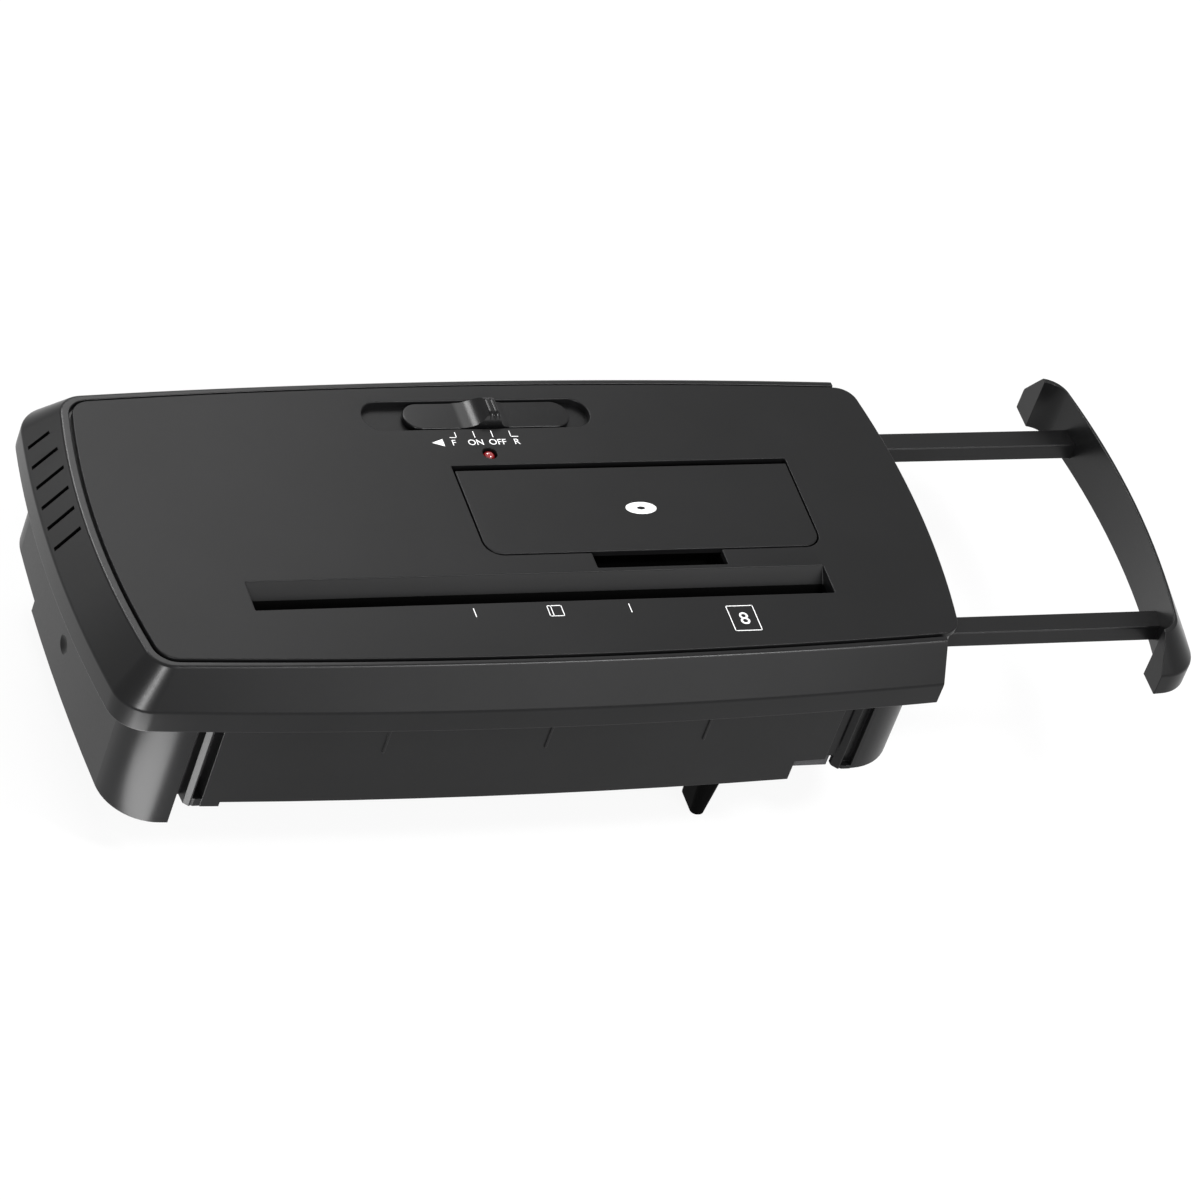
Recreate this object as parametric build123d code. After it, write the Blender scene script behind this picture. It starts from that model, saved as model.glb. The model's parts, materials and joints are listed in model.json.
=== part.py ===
from build123d import *
import math
import os

os.makedirs("parts", exist_ok=True)

# Bin-top paper shredder head with a pull-out arm, in millimetres.
# X runs along the paper slot towards the arm, Y to the rear, Z up from the surface it stands on.
# The shapes below are drawn from the middle of the paper slot; the saved parts are shifted along X
# so that the origin is the middle of the footprint with the arm pulled out.

# Heights above the standing surface
panel_top = 90.0
panel_thickness = 2.4
rim_top = 89.5
crease_level = 75.5
cover_bottom = 66.0
ledge_thickness = 2.2
wall = 2.4
cover_wall = 1.8
gap = 0.3

# Plan outlines: reach at the middle of each side, and at the corners before rounding
rim_left, rim_left_corner = 161.5, 154.3
rim_right, rim_right_corner = 161.0, 154.0
rim_depth, rim_corner_depth, rim_radius = 70.2, 66.0, 10.0
crease_left, crease_left_corner = 171.0, 164.5
crease_right, crease_right_corner = 169.0, 162.7
crease_depth, crease_corner_depth, crease_radius = 79.9, 73.9, 14.0
panel_left, panel_left_corner = 157.6, 150.9
panel_right, panel_right_corner = 159.2, 153.4
panel_depth, panel_corner_depth, panel_radius = 67.2, 62.8, 8.0
panel_groove = 0.9
casing_left, casing_left_corner = 158.4, 155.5
casing_right = 144.6
casing_depth, casing_corner_depth, casing_radius = 77.0, 72.6, 20.0
cover_end = 147.3
bulkhead = (144.8, 147.5)

# Lower edges of the casing
left_skirt_bottom = 18.0
rear_skirt_bottom = 23.0
right_skirt_bottom = 31.5
front_wall_bottom = 28.3
floor_bottom = 20.0
floor_top = 22.4

# Paper mouth
mouth_half_length = 111.0
mouth_front, mouth_back = -41.3, -27.7
slit_back = -36.7
funnel_bottom = 77.6
funnel_lip = 4.8
funnel_wall = 2.5
chute_bottom = 63.0

# CD flap, its well and its slit
lid_left, lid_right = -16.3, 114.1
lid_front, lid_back = -17.7, 24.2
lid_corner = 6.4
lid_gap = 0.6
lid_back_gap = 2.6
hinge_y, hinge_z, hinge_pin_radius = 21.3, 85.2, 1.2
well_floor = 81.5
well_skin = 1.5
disc_slit_front, disc_slit_back = -11.4, -6.6
disc_slit_left, disc_slit_right = -12.0, 110.0
slit_wall = 1.4
notch_left, notch_right, notch_front = 23.4, 74.2, -25.7

# Slide switch and lamp
switch_y = 52.5
recess_left, recess_right, recess_half_width = -43.4, 45.0, 7.2
slider_left, slider_right, slider_half_width = -27.6, 37.2, 6.5
slider_floor = 87.2
recess_skin = 2.2
stem_half_width = 2.0
stem_slot = (-13.7, 16.9)
lamp_y, lamp_radius = 32.7, 2.4
lamp_collar_radius, lamp_collar_bottom = 3.7, 84.4

# Arm
arm_travel = 87.6
handle_inner, handle_inner_corner, handle_inner_depth = 159.8, 153.4, 64.5
handle_end = 147.8
rail_inner, rail_outer = 42.9, 51.5
rail_middle = (rail_inner + rail_outer) / 2
rail_bottom, rail_top = 69.8, 77.0
rail_start, rail_stop_length = 109.0, 5.0
rail_seat = 249.0
sleeve_end = 152.0
sleeve_wall = 2.0
arm_screw_x = 246.8
arm_screw_radius, arm_screw_head_radius, arm_screw_head_height = 1.2, 1.5, 0.6

# Cutting block
shaft_level = 50.0
shaft_pitch = 30.0
nip_y = -38.0
front_y = nip_y - shaft_pitch / 2
rear_y = nip_y + shaft_pitch / 2
cd_y = rear_y + shaft_pitch
disc_radius, disc_root = 16.0, 15.2
disc_teeth = 10
strip_width = 7.1
disc_width = 6.8
cutter_half_length = 110.05
front_disc_count = 16
rear_disc_count = 15
cd_disc_count = 9
cd_first_disc = 7
hex_radius = 12.0 / math.sqrt(3)
hex_half_length = 115.5
boss_radius = 20.0 / math.sqrt(3)
collar_radius = 9.0
journal_radius = 5.0
bush_radius = 8.0
running_clearance = 0.05
left_plate = (-121.0, -118.5)
right_plate = (117.0, 119.5)
plate_top = 67.0

# Gear train: module and tooth count of each wheel
pressure_angle = math.radians(25)
sync_module, sync_teeth = 1.5, 20
motor_module, pinion_teeth, first_teeth = 0.8, 9, 40
middle_module, first_pinion_teeth, second_teeth = 1.0, 9, 36
drive_module, second_pinion_teeth, drive_teeth = 1.6, 9, 28
second_direction = 23.0
first_direction = -15.0
motor_direction = -31.0
axle_radius = 2.5
motor_radius = 21.0
motor_left, motor_right = -118.5, -40.0

footprint_middle = (crease_right + arm_travel - crease_left) / 2


def block(x_span, y_span, z_span):
    spans = (x_span, y_span, z_span)
    sizes = [high - low for low, high in spans]
    centre = [(low + high) / 2 for low, high in spans]
    return Pos(*centre) * Box(*sizes)


def rod(x_span, y, z, radius):
    return Pos((x_span[0] + x_span[1]) / 2, y, z) * Rot(0, 90, 0) * Cylinder(radius, x_span[1] - x_span[0])


def post(x, y, z_span, radius):
    return Pos(x, y, (z_span[0] + z_span[1]) / 2) * Cylinder(radius, z_span[1] - z_span[0])


def along_x(profile, x_span):
    return extrude(Plane.YZ.offset(x_span[0]) * profile, amount=x_span[1] - x_span[0])


def polygon(points):
    return make_face(Polyline(*points, close=True))


def side(start, middle, end):
    if abs(middle[0] - start[0]) < 0.01:
        return Line(start, end)
    return ThreePointArc(start, middle, end)


def bowed_outline(left, left_corner, right, right_corner, depth, corner_depth, left_radius, right_radius):
    middle = (right_corner - left_corner) / 2
    corners = [
        (right_corner, -corner_depth),
        (right_corner, corner_depth),
        (-left_corner, corner_depth),
        (-left_corner, -corner_depth),
    ]
    edges = [
        side(corners[0], (right, 0), corners[1]),
        ThreePointArc(corners[1], (middle, depth), corners[2]),
        side(corners[2], (-left, 0), corners[3]),
        ThreePointArc(corners[3], (middle, -depth), corners[0]),
    ]
    outline = make_face(edges)
    outline = fillet(outline.vertices().filter_by(lambda v: v.X < 0), left_radius)

    def at_right_corner(vertex):
        return abs(vertex.X - right_corner) + abs(abs(vertex.Y) - corner_depth) < 0.01

    return fillet(outline.vertices().filter_by(at_right_corner), right_radius)


def cover_section(level, inset=0.0):
    share = (level - crease_level) / (rim_top - crease_level)
    share = min(max(share, 0.0), 1.0)

    def blend(low, high):
        return low + (high - low) * share - inset

    radius = blend(crease_radius, rim_radius)
    return Pos(0, 0, level) * bowed_outline(
        blend(crease_left, rim_left),
        blend(crease_left_corner, rim_left_corner),
        blend(crease_right, rim_right),
        blend(crease_right_corner, rim_right_corner),
        blend(crease_depth, rim_depth),
        blend(crease_corner_depth, rim_corner_depth),
        radius,
        radius,
    )


def cover_body(top, inset=0.0):
    slope = loft([cover_section(crease_level, inset), cover_section(top, inset)], ruled=True)
    return slope + extrude(cover_section(cover_bottom, inset), amount=crease_level - cover_bottom)


def panel_outline(grow=0.0):
    return bowed_outline(
        panel_left + grow,
        panel_left_corner + grow,
        panel_right + grow,
        panel_right_corner + grow,
        panel_depth + grow,
        panel_corner_depth + grow,
        panel_radius + grow,
        panel_radius + grow,
    )


def casing_outline(inset=0.0):
    return bowed_outline(
        casing_left - inset,
        casing_left_corner - inset,
        casing_right - inset,
        casing_right - inset,
        casing_depth - inset,
        casing_corner_depth - inset,
        casing_radius - inset,
        casing_radius - inset,
    )


def casing_face(x):
    middle = (casing_right - casing_left_corner) / 2
    share = (x - middle) / (casing_right - middle)
    return casing_depth - (casing_depth - casing_corner_depth) * share ** 2


def prism(outline, z_span):
    return extrude(Pos(0, 0, z_span[0]) * outline, amount=z_span[1] - z_span[0])


def both_sides(places):
    return [(x, sign * y, *rest) for x, y, *rest in places for sign in (-1, 1)]


def stadium(left, right, half_width):
    middle = (left + right) / 2
    return Pos(middle, switch_y, 0) * SlotOverall(right - left, 2 * half_width)


# Upper cover: rim, slope and band round three sides, open at the arm end
vent_count, vent_pitch, vent_width, last_vent_y = 6, 10.0, 1.7, 3.0
vent_bottom, vent_top = 76.9, 87.6
boss_places = [(-160.0, 57.0, 79.5), (-20.0, 67.5, 86.0), (100.0, 66.3, 86.0)]
cover_boss_radius = 3.0
flange_bottom, flange_top = cover_bottom, 68.6
screw_sink = 1.6


def make_upper_cover():
    ledge_level = panel_top - panel_thickness - ledge_thickness
    cover = cover_body(rim_top) - cover_body(ledge_level, cover_wall)
    cover -= prism(panel_outline(panel_groove), (panel_top - panel_thickness, panel_top))
    cover -= prism(panel_outline(-4.0), (ledge_level - 1, panel_top))
    for x, y, top in both_sides(boss_places):
        cover += post(x, y, (flange_top, top), cover_boss_radius)
        cover -= post(x, y, (flange_top - 1, flange_top + 6.0), pilot_radius)
    cover -= block((cover_end, crease_right + 1), (-90, 90), (cover_bottom - 1, panel_top + 1))
    for number in range(vent_count):
        y = last_vent_y + number * vent_pitch
        vent = (y - vent_width / 2, y + vent_width / 2)
        cover -= block((-crease_left, 1.0 - rim_left), vent, (vent_bottom, vent_top))
    return cover


# Top panel: inset plate with the paper mouth, flap opening, finger notch, switch recess and lamp hole
def make_top_panel():
    under = panel_top - panel_thickness
    panel = prism(panel_outline(), (under, panel_top))
    funnel_x = (-mouth_half_length - funnel_wall, mouth_half_length + funnel_wall)
    panel += block(funnel_x, (mouth_front - funnel_wall, notch_front), (funnel_bottom, under))
    mouth = polygon([
        (mouth_front, panel_top + 1),
        (mouth_back, panel_top + 1),
        (mouth_back, panel_top),
        (mouth_back - funnel_lip, panel_top - funnel_lip),
        (slit_back, funnel_bottom),
        (slit_back, funnel_bottom - 1),
        (mouth_front, funnel_bottom - 1),
    ])
    panel -= along_x(mouth, (-mouth_half_length, mouth_half_length))
    opening = block(
        (lid_left - lid_gap, lid_right + lid_gap),
        (lid_front - lid_gap, lid_back + lid_back_gap),
        (under - 1, panel_top + 1),
    )
    panel -= fillet(opening.edges().filter_by(Axis.Z).group_by(Axis.Y)[0], lid_corner + lid_gap)
    panel -= block((notch_left, notch_right), (notch_front, lid_front), (under - 1, panel_top + 1))
    tray = stadium(recess_left - recess_skin, recess_right + recess_skin, recess_half_width + recess_skin)
    panel += prism(tray, (slider_floor - recess_skin, under))
    panel -= prism(stadium(recess_left, recess_right, recess_half_width), (slider_floor, panel_top + 1))
    slot_half = stem_half_width + 0.4
    slot_y = (switch_y - slot_half, switch_y + slot_half)
    panel -= block(stem_slot, slot_y, (slider_floor - 5, slider_floor + 1))
    panel += post(0, lamp_y, (lamp_collar_bottom, under), lamp_collar_radius)
    panel -= post(0, lamp_y, (lamp_collar_bottom - 1, panel_top + 1), lamp_radius + 0.35)
    return panel


# Lower casing: walls with corner skirts, stepped lower edges, fluted corner channels and a top flange
left_flute = {"x_span": (-135.0, -125.2), "depth": 6.0, "rib": -131.4, "bottom": 26.2, "foot": 3.5}
right_flute = {
    "x_span": (112.4, 124.2),
    "depth": 2.6,
    "rib": 117.2,
    "bottom": right_skirt_bottom,
    "foot": 1.5,
}
flute_skin = 1.6
right_notch_bottom = 36.2
dimple_place, dimple_radius = (-3.0, 35.0), 5.6
seam_places = (-64.2, -2.8, 58.6)
seam_bottom = 53.0
inlet_x, inlet_z, inlet_radius = -20.0, 48.0, 5.5
base_posts = [(-147.4, 63.4)]
base_lugs = [(134.0, 25.0)]
lug_half_width, lug_height = 5.0, 5.0
pilot_radius, screw_radius, passing_radius = 1.4, 1.4, 1.7
screw_head_radius = 2.8


def flute_channel(sign, x_span, depth):
    face = casing_face(sum(x_span) / 2)
    return block(x_span, sorted((sign * (face - depth), sign * 90)), (left_skirt_bottom - 1, flange_bottom))


def flute_lining(sign, x_span, depth, rib, bottom, foot):
    face = casing_face(sum(x_span) / 2)
    back = face - depth

    def plan(corners):
        return polygon([(x, sign * (face - inset)) for x, inset in corners])

    wide = (x_span[0] - wall, x_span[1] + wall)
    lining = block(wide, sorted((sign * (back - flute_skin), sign * back)), (bottom, flange_top))
    cheek_y = sorted((sign * (back - flute_skin), sign * (face - flute_skin)))
    for cheek_x in ((wide[0], x_span[0]), (x_span[1], wide[1])):
        lining += block(cheek_x, cheek_y, (bottom, flange_top))
    ridge = plan([(rib, depth), (rib + 0.4, 1.8), (rib + 2.1, 0.2), (rib + 2.6, 0.2), (rib + 2.6, depth)])
    lining += prism(ridge, (bottom, flange_bottom))
    toe = plan([(rib, depth), (rib + 0.4, 1.8), (rib + 3.6, 0.1), (x_span[1], 0.1), (x_span[1], depth)])
    return lining + prism(toe, (bottom, bottom + foot))


def make_lower_casing():
    lowest = left_skirt_bottom
    casing = prism(casing_outline() - casing_outline(wall), (lowest, flange_top))
    flange = extrude(cover_section(flange_bottom, cover_wall + gap), amount=flange_top - flange_bottom)
    flange -= block((casing_right, crease_right), (-90, 90), (flange_bottom - 1, flange_top + 1))
    flange -= prism(casing_outline(wall), (flange_bottom, flange_top))
    casing += flange
    for sign in (-1, 1):
        for flute in (left_flute, right_flute):
            casing -= flute_channel(sign, flute["x_span"], flute["depth"])
            casing += flute_lining(sign, **flute)
        outside = sorted((sign * 60, sign * 90))
        steps = [
            ((left_flute["x_span"][0], -118.3), left_flute["bottom"]),
            ((-118.3, 100.0), front_wall_bottom),
            ((100.0, right_flute["x_span"][0]), right_notch_bottom + 1.3),
            ((right_flute["x_span"][0], right_flute["rib"]), right_notch_bottom),
            ((right_flute["rib"], right_flute["x_span"][1]), right_flute["bottom"]),
        ]
        for x_span, level in steps:
            casing -= block(x_span, outside, (lowest - 1, level))
        for x in seam_places:
            y = casing_face(x)
            seam = sorted((sign * (y - 1), sign * (y + 0.5)))
            casing += block((x - 0.45, x + 0.45), seam, (seam_bottom, flange_bottom))
    casing -= block((right_flute["x_span"][1], 150), (-90, 90), (lowest - 1, right_skirt_bottom))
    casing -= block((-170, -130), (30, 90), (lowest - 1, rear_skirt_bottom))
    casing -= Pos(-casing_left - 4.2, *dimple_place) * Sphere(dimple_radius)
    casing -= Pos(inlet_x, casing_depth, inlet_z) * Rot(90, 0, 0) * Cylinder(inlet_radius, 12)
    for x, y in both_sides(base_posts):
        casing += post(x, y, (floor_top, flange_top), 3.5)
        casing -= post(x, y, (floor_top - 1, floor_top + 8), pilot_radius)
    for x, y in both_sides(base_lugs):
        lug_y = (y - lug_half_width, y + lug_half_width)
        lug_z = (right_skirt_bottom, right_skirt_bottom + lug_height)
        casing += block((x - 3.6, casing_right - 1), lug_y, lug_z)
        casing -= post(x, y, (right_skirt_bottom - 1, right_skirt_bottom + 4), pilot_radius)
    for x, y, top in both_sides(boss_places):
        if abs(y) > 60:
            tab = sorted((y - math.copysign(4.5, y), math.copysign(casing_face(x) - 1.2, y)))
            casing += block((x - 6, x + 6), tab, (flange_bottom, flange_top))
        casing -= post(x, y, (flange_bottom - 1, flange_bottom + screw_sink), screw_head_radius + gap)
        casing -= post(x, y, (flange_bottom - 1, flange_top + 1), passing_radius)
    return casing


# Bottom cover: floor with the discharge opening, side upstands and four tapered legs
discharge_half_length, discharge_front, discharge_back = 108.0, -51.0, 3.0
guard_places = (-54.0, 0.0, 54.0)
leg_places = [(76.7, 66.1), (-132.0, 54.6)]
floor_steps = [
    ((-170.0, -138.0), 90.0),
    ((-138.0, -114.0), 56.0),
    ((-114.0, 96.0), 62.0),
    ((96.0, 139.0), 54.0),
]
guard_half_width, guard_height = 1.5, 4.5
upstand_span, upstand_y, upstand_top = (-112.0, 94.0), (60.0, 62.0), 28.0


def make_bottom_cover():
    inside = Part()
    for x_span, depth in floor_steps:
        inside += block(x_span, (-depth, depth), (floor_bottom, floor_top))
    floor = prism(casing_outline(wall + gap), (floor_bottom, floor_top)) & inside
    floor -= block((-discharge_half_length, discharge_half_length), (discharge_front, discharge_back),
                   (floor_bottom - 1, floor_top + 1))
    for x in guard_places:
        guard_x = (x - guard_half_width, x + guard_half_width)
        guard_z = (floor_bottom, floor_bottom + guard_height)
        floor += block(guard_x, (discharge_front, discharge_back), guard_z)
    for sign in (-1, 1):
        floor += block(upstand_span, sorted(sign * y for y in upstand_y), (floor_bottom, upstand_top))
    for x, y in both_sides(leg_places):
        inward = -math.copysign(1, y)
        top = Pos(x, y + inward * 7.3, floor_top) * RectangleRounded(9.6, 14.6, 3.2)
        foot = Pos(x, y + inward * 7.8, 0) * RectangleRounded(5.4, 13.4, 2.4)
        floor += loft([foot, top], ruled=True)
    for x, y in both_sides(base_lugs):
        floor += post(x, y, (floor_bottom, right_skirt_bottom), 3.8)
        floor -= post(x, y, (floor_bottom - 1, right_skirt_bottom + 1), passing_radius)
    for x, y in both_sides(base_posts):
        floor -= post(x, y, (floor_bottom - 1, floor_top + 1), passing_radius)
    return floor


# Arm-end cap: curved nose under the panel's edge, with the two sleeves that guide the rails
def make_right_end_cap():
    nose_top = panel_top - panel_thickness - 0.1
    nose = prism(panel_outline(-1.0), (flange_top, nose_top))
    nose -= prism(panel_outline(-1.0 - wall), (flange_top + wall, nose_top + 1))
    nose &= block((bulkhead[1], crease_right), (-90, 90), (flange_top, nose_top))
    cap = cover_body(panel_top - panel_thickness - ledge_thickness - 0.2, cover_wall + gap)
    cap = nose + (cap & block(bulkhead, (-90, 90), (cover_bottom + 0.2, panel_top)))
    for sign in (-1, 1):
        sleeve_x = (rail_start + rail_stop_length + gap, sleeve_end)
        sleeve = sorted((sign * (rail_inner - sleeve_wall), sign * (rail_outer + sleeve_wall)))
        cap += block(sleeve_x, sleeve, (flange_top, rail_top + sleeve_wall))
        way = sorted((sign * (rail_inner - gap), sign * (rail_outer + gap)))
        cap -= block((100, 170), way, (rail_bottom - gap, rail_top + gap))
    return cap


# Paper chute: two guide walls from the mouth down to the cutters
chute_skin = 1.2
sensor_x, sensor_y, sensor_z = -3.0, -47.0, 74.0
sensor_pin_radius = 1.0


def make_paper_chute():
    half = mouth_half_length + chute_skin
    chute = block((-half, half), (mouth_front - chute_skin, mouth_front), (chute_bottom, funnel_bottom))
    chute += block((-half, half), (slit_back, slit_back + chute_skin), (chute_bottom, funnel_bottom))
    for x_span in ((-half, -mouth_half_length), (mouth_half_length, half)):
        chute += block(x_span, (mouth_front, slit_back), (chute_bottom + 4, funnel_bottom))
    window = (sensor_x - 3, sensor_x + 3)
    chute -= block(window, (mouth_front - 2, mouth_front + 0.1), (chute_bottom - 1, funnel_bottom - 1.1))
    return chute


# Well under the CD flap, with the slit for a disc and the hinge ears
ear_spans = ((-14.0, -11.5), (109.3, 111.8))
knuckle_spans = ((-11.2, -5.0), (102.8, 109.0))
knuckle_radius = 2.0
hinge_pin_span = (ear_spans[0][0], ear_spans[1][1])


def make_cd_chute():
    under = panel_top - panel_thickness
    outer_x = (lid_left - 2.4, lid_right + 2.4)
    inner_x = (lid_left - 0.9, lid_right + 0.9)
    back = lid_back + lid_back_gap + 0.8
    well = block(outer_x, (lid_front - 2.4, back + 1.2), (well_floor - well_skin, under))
    well -= block(inner_x, (lid_front - 0.9, back), (well_floor, under + 1))
    well -= block((notch_left, notch_right), (lid_front - 5, lid_front), (well_floor, under + 1))
    shelf = (well_floor - well_skin, well_floor)
    well += block((notch_left, notch_right), (notch_front + 0.1, lid_front - 2), shelf)
    slit = (disc_slit_left, disc_slit_right)
    guide_x = (disc_slit_left - slit_wall, disc_slit_right + slit_wall)
    guide_y = (disc_slit_front - slit_wall, disc_slit_back + slit_wall)
    well += block(guide_x, guide_y, (chute_bottom, well_floor))
    well -= block(slit, (disc_slit_front, disc_slit_back), (chute_bottom - 1, well_floor + 1))
    for x_span in ear_spans:
        well += block(x_span, (hinge_y - knuckle_radius, hinge_y + knuckle_radius), (well_floor, hinge_z))
        well += rod(x_span, hinge_y, hinge_z, knuckle_radius)
    return well - rod(hinge_pin_span, hinge_y, hinge_z, hinge_pin_radius)


# CD flap with two hinge knuckles
def make_cd_lid():
    under = panel_top - panel_thickness
    lid = block((lid_left, lid_right), (lid_front, lid_back), (under, panel_top))
    lid = fillet(lid.edges().filter_by(Axis.Z).group_by(Axis.Y)[0], lid_corner)
    for x_span in knuckle_spans:
        lid += block(x_span, (hinge_y - knuckle_radius, hinge_y + knuckle_radius), (hinge_z, under))
        lid += rod(x_span, hinge_y, hinge_z, knuckle_radius)
        lid -= rod(x_span, hinge_y, hinge_z, hinge_pin_radius + running_clearance)
    return lid


# Slide switch: plate with a swept finger hump, and the stem through the panel
def make_mode_slider():
    low, high = slider_floor + 0.2, panel_top - 0.4
    plate = prism(stadium(slider_left, slider_right, slider_half_width), (low, high))
    crest = high + 5.0
    ramp = ThreePointArc((-9.0, high), (-1.0, high + 1.3), (3.0, crest))
    grip = Polyline(
        (3.0, crest),
        (4.0, crest),
        (4.4, crest - 0.8),
        (5.6, crest - 0.8),
        (6.0, crest),
        (7.6, crest - 0.3),
    )
    face = ThreePointArc((7.6, crest - 0.3), (9.4, high + 1.6), (13.0, high))
    base = Polyline((13.0, high), (13.0, high - 0.5), (-9.0, high - 0.5), (-9.0, high))
    hump = make_face([ramp, grip, face, base])
    hump = extrude(Plane.XZ.offset(-switch_y) * hump, amount=slider_half_width - 0.5, both=True)
    slider = plate + hump
    stem_x = (slider_left + slider_right) / 2
    stem_y = (switch_y - stem_half_width, switch_y + stem_half_width)
    return slider + block((stem_x - 4, stem_x + 4), stem_y, (80.6, low))


def make_slide_switch():
    body = block((-24, 28), (switch_y - 6.5, switch_y + 6.5), (78.2, 83.4))
    body -= block((-14, 18), (switch_y - 2.5, switch_y + 2.5), (79.8, 84))
    for x_span in ((-24, -17), (21, 28)):
        body += block(x_span, (switch_y - 6.5, switch_y + 6.5), (83.4, slider_floor - recess_skin))
    return body


def make_led_lens():
    dome_level = panel_top - 3.1
    foot_level = lamp_collar_bottom - 2.0
    lens = post(0, lamp_y, (foot_level, dome_level), lamp_radius)
    dome = Pos(0, lamp_y, dome_level) * Sphere(lamp_radius)
    return lens + dome + post(0, lamp_y, (foot_level, lamp_collar_bottom), lamp_radius + 0.6)


# Arm: C-shaped handle cut from the same outline as the cover, on two rails
def make_arm_handle():
    handle = cover_body(rim_top)
    handle &= block((handle_end, 200), (-90, 90), (cover_bottom - 1, panel_top))
    hollow = bowed_outline(100, 95, handle_inner, handle_inner_corner, handle_inner_depth + 0.01,
                           handle_inner_depth, 5, 7.0)
    handle -= prism(hollow, (cover_bottom - 1, panel_top))
    handle = Pos(arm_travel, 0, 0) * handle
    for sign in (-1, 1):
        socket = sorted((sign * rail_inner, sign * rail_outer))
        handle -= block((200, rail_seat), socket, (rail_bottom, rail_top))
        screw_hole = (cover_bottom - 1, rail_bottom)
        handle -= post(arm_screw_x, sign * rail_middle, screw_hole, arm_screw_head_radius)
    return handle


def make_rail(sign):
    width = sorted((sign * rail_inner, sign * rail_outer))
    bar = block((rail_start, rail_seat), width, (rail_bottom, rail_top))
    bar = chamfer(bar.edges().filter_by(Axis.X), 0.5)
    stop = sorted((sign * (rail_outer - 1), sign * (rail_outer + 2.6)))
    bar += block((rail_start, rail_start + rail_stop_length), stop, (rail_bottom + 0.8, rail_top - 0.8))
    return bar - post(arm_screw_x, sign * rail_middle, (rail_bottom - 1, rail_bottom + 4.0), arm_screw_radius)


def screw(x, y, z_span, radius, head_radius, head_height):
    shank = post(x, y, z_span, radius)
    return shank + post(x, y, (z_span[0] - head_height, z_span[0]), head_radius)


def make_arm_screws():
    shank = (cover_bottom + arm_screw_head_height, rail_bottom + 3.8)
    sizes = (arm_screw_radius, arm_screw_head_radius, arm_screw_head_height)
    return group([screw(arm_screw_x, sign * rail_middle, shank, *sizes) for sign in (-1, 1)])


def make_cover_screws():
    shank = (flange_bottom + screw_sink, flange_top + 5.8)
    places = both_sides(boss_places)
    return group([screw(x, y, shank, screw_radius, screw_head_radius, 1.4) for x, y, top in places])


def make_base_screws():
    rows = [(base_posts, floor_top + 7.8), (base_lugs, right_skirt_bottom + 3.8)]
    screws = []
    for places, tip in rows:
        for x, y in both_sides(places):
            screws.append(screw(x, y, (floor_bottom, tip), screw_radius, screw_head_radius, 1.6))
    return group(screws)


# Cutting block
def serrated_disc():
    points = []
    step = 2 * math.pi / disc_teeth
    for tooth in range(disc_teeth):
        points.append((disc_radius * math.cos(tooth * step), disc_radius * math.sin(tooth * step)))
        late = (tooth + 0.8) * step
        points.append((disc_root * math.cos(late), disc_root * math.sin(late)))
    return polygon(points)


def cutter_discs(y, first_x, count):
    bore = RegularPolygon(hex_radius, 6)
    profile = Pos(y, shaft_level) * (serrated_disc() - bore)
    spacer = Pos(y, shaft_level) * (RegularPolygon(boss_radius, 6) - bore)
    discs = []
    for number in range(count):
        x = first_x + number * 2 * strip_width
        disc = along_x(profile, (x, x + disc_width))
        if number < count - 1:
            disc += along_x(spacer, (x + disc_width, x + 2 * strip_width))
        discs += disc.solids()
    return Compound(discs)


first_front_disc = -cutter_half_length
first_rear_disc = -cutter_half_length + strip_width
first_cd_disc = first_front_disc + cd_first_disc * 2 * strip_width
sync_span = (122.6, 129.6)
pinion_span = (-132.0, -124.0)
middle_span = (-140.6, -133.6)
drive_span = (-150.2, -142.2)
gear_plate_span = (-153.4, -151.4)


def cutter_shaft(y, left_end, right_end):
    bar = along_x(Pos(y, shaft_level) * RegularPolygon(hex_radius, 6), (-hex_half_length, hex_half_length))
    bar += rod((left_end, -hex_half_length), y, shaft_level, journal_radius)
    bar += rod((hex_half_length, right_end), y, shaft_level, journal_radius)
    left_collar = (-hex_half_length, -cutter_half_length - 0.2)
    right_collar = (cutter_half_length + 0.4, hex_half_length)
    for x_span in (left_collar, right_collar):
        bar += rod(x_span, y, shaft_level, collar_radius)
    return bar


def gear_face(module, teeth, turn):
    pitch = module * teeth / 2
    base = pitch * math.cos(pressure_angle)
    tip, root = pitch + 0.8 * module, pitch - 1.05 * module
    backlash = 0.08 * module + 0.04

    def involute(radius):
        angle = math.acos(min(base / radius, 1.0))
        return math.tan(angle) - angle

    def half_angle(radius):
        at_pitch = math.pi / (2 * teeth) - backlash / (2 * pitch)
        return at_pitch + involute(pitch) - involute(max(radius, base))

    points = []
    for tooth in range(teeth):
        middle = math.radians(turn) + 2 * math.pi * tooth / teeth
        for radius, flank in ((root, -1), (pitch, -1), (tip, -1), (tip, 1), (pitch, 1), (root, 1)):
            angle = middle + flank * half_angle(radius)
            points.append((radius * math.cos(angle), radius * math.sin(angle)))
    return polygon(points)


def gear(module, teeth, turn, centre, x_span, bore):
    face = gear_face(module, teeth, turn) - Circle(bore)
    return along_x(Pos(*centre) * face, x_span)


def sync_gear(turn, centre):
    return gear(sync_module, sync_teeth, turn, centre, sync_span, journal_radius)


def mesh_turn(turn, teeth, next_teeth, direction):
    offset = (turn - direction) % (360 / teeth)
    return direction + 180 + 180 / next_teeth - offset * teeth / next_teeth


def step_from(centre, distance, direction):
    angle = math.radians(direction)
    return (centre[0] + distance * math.cos(angle), centre[1] + distance * math.sin(angle))


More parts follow.
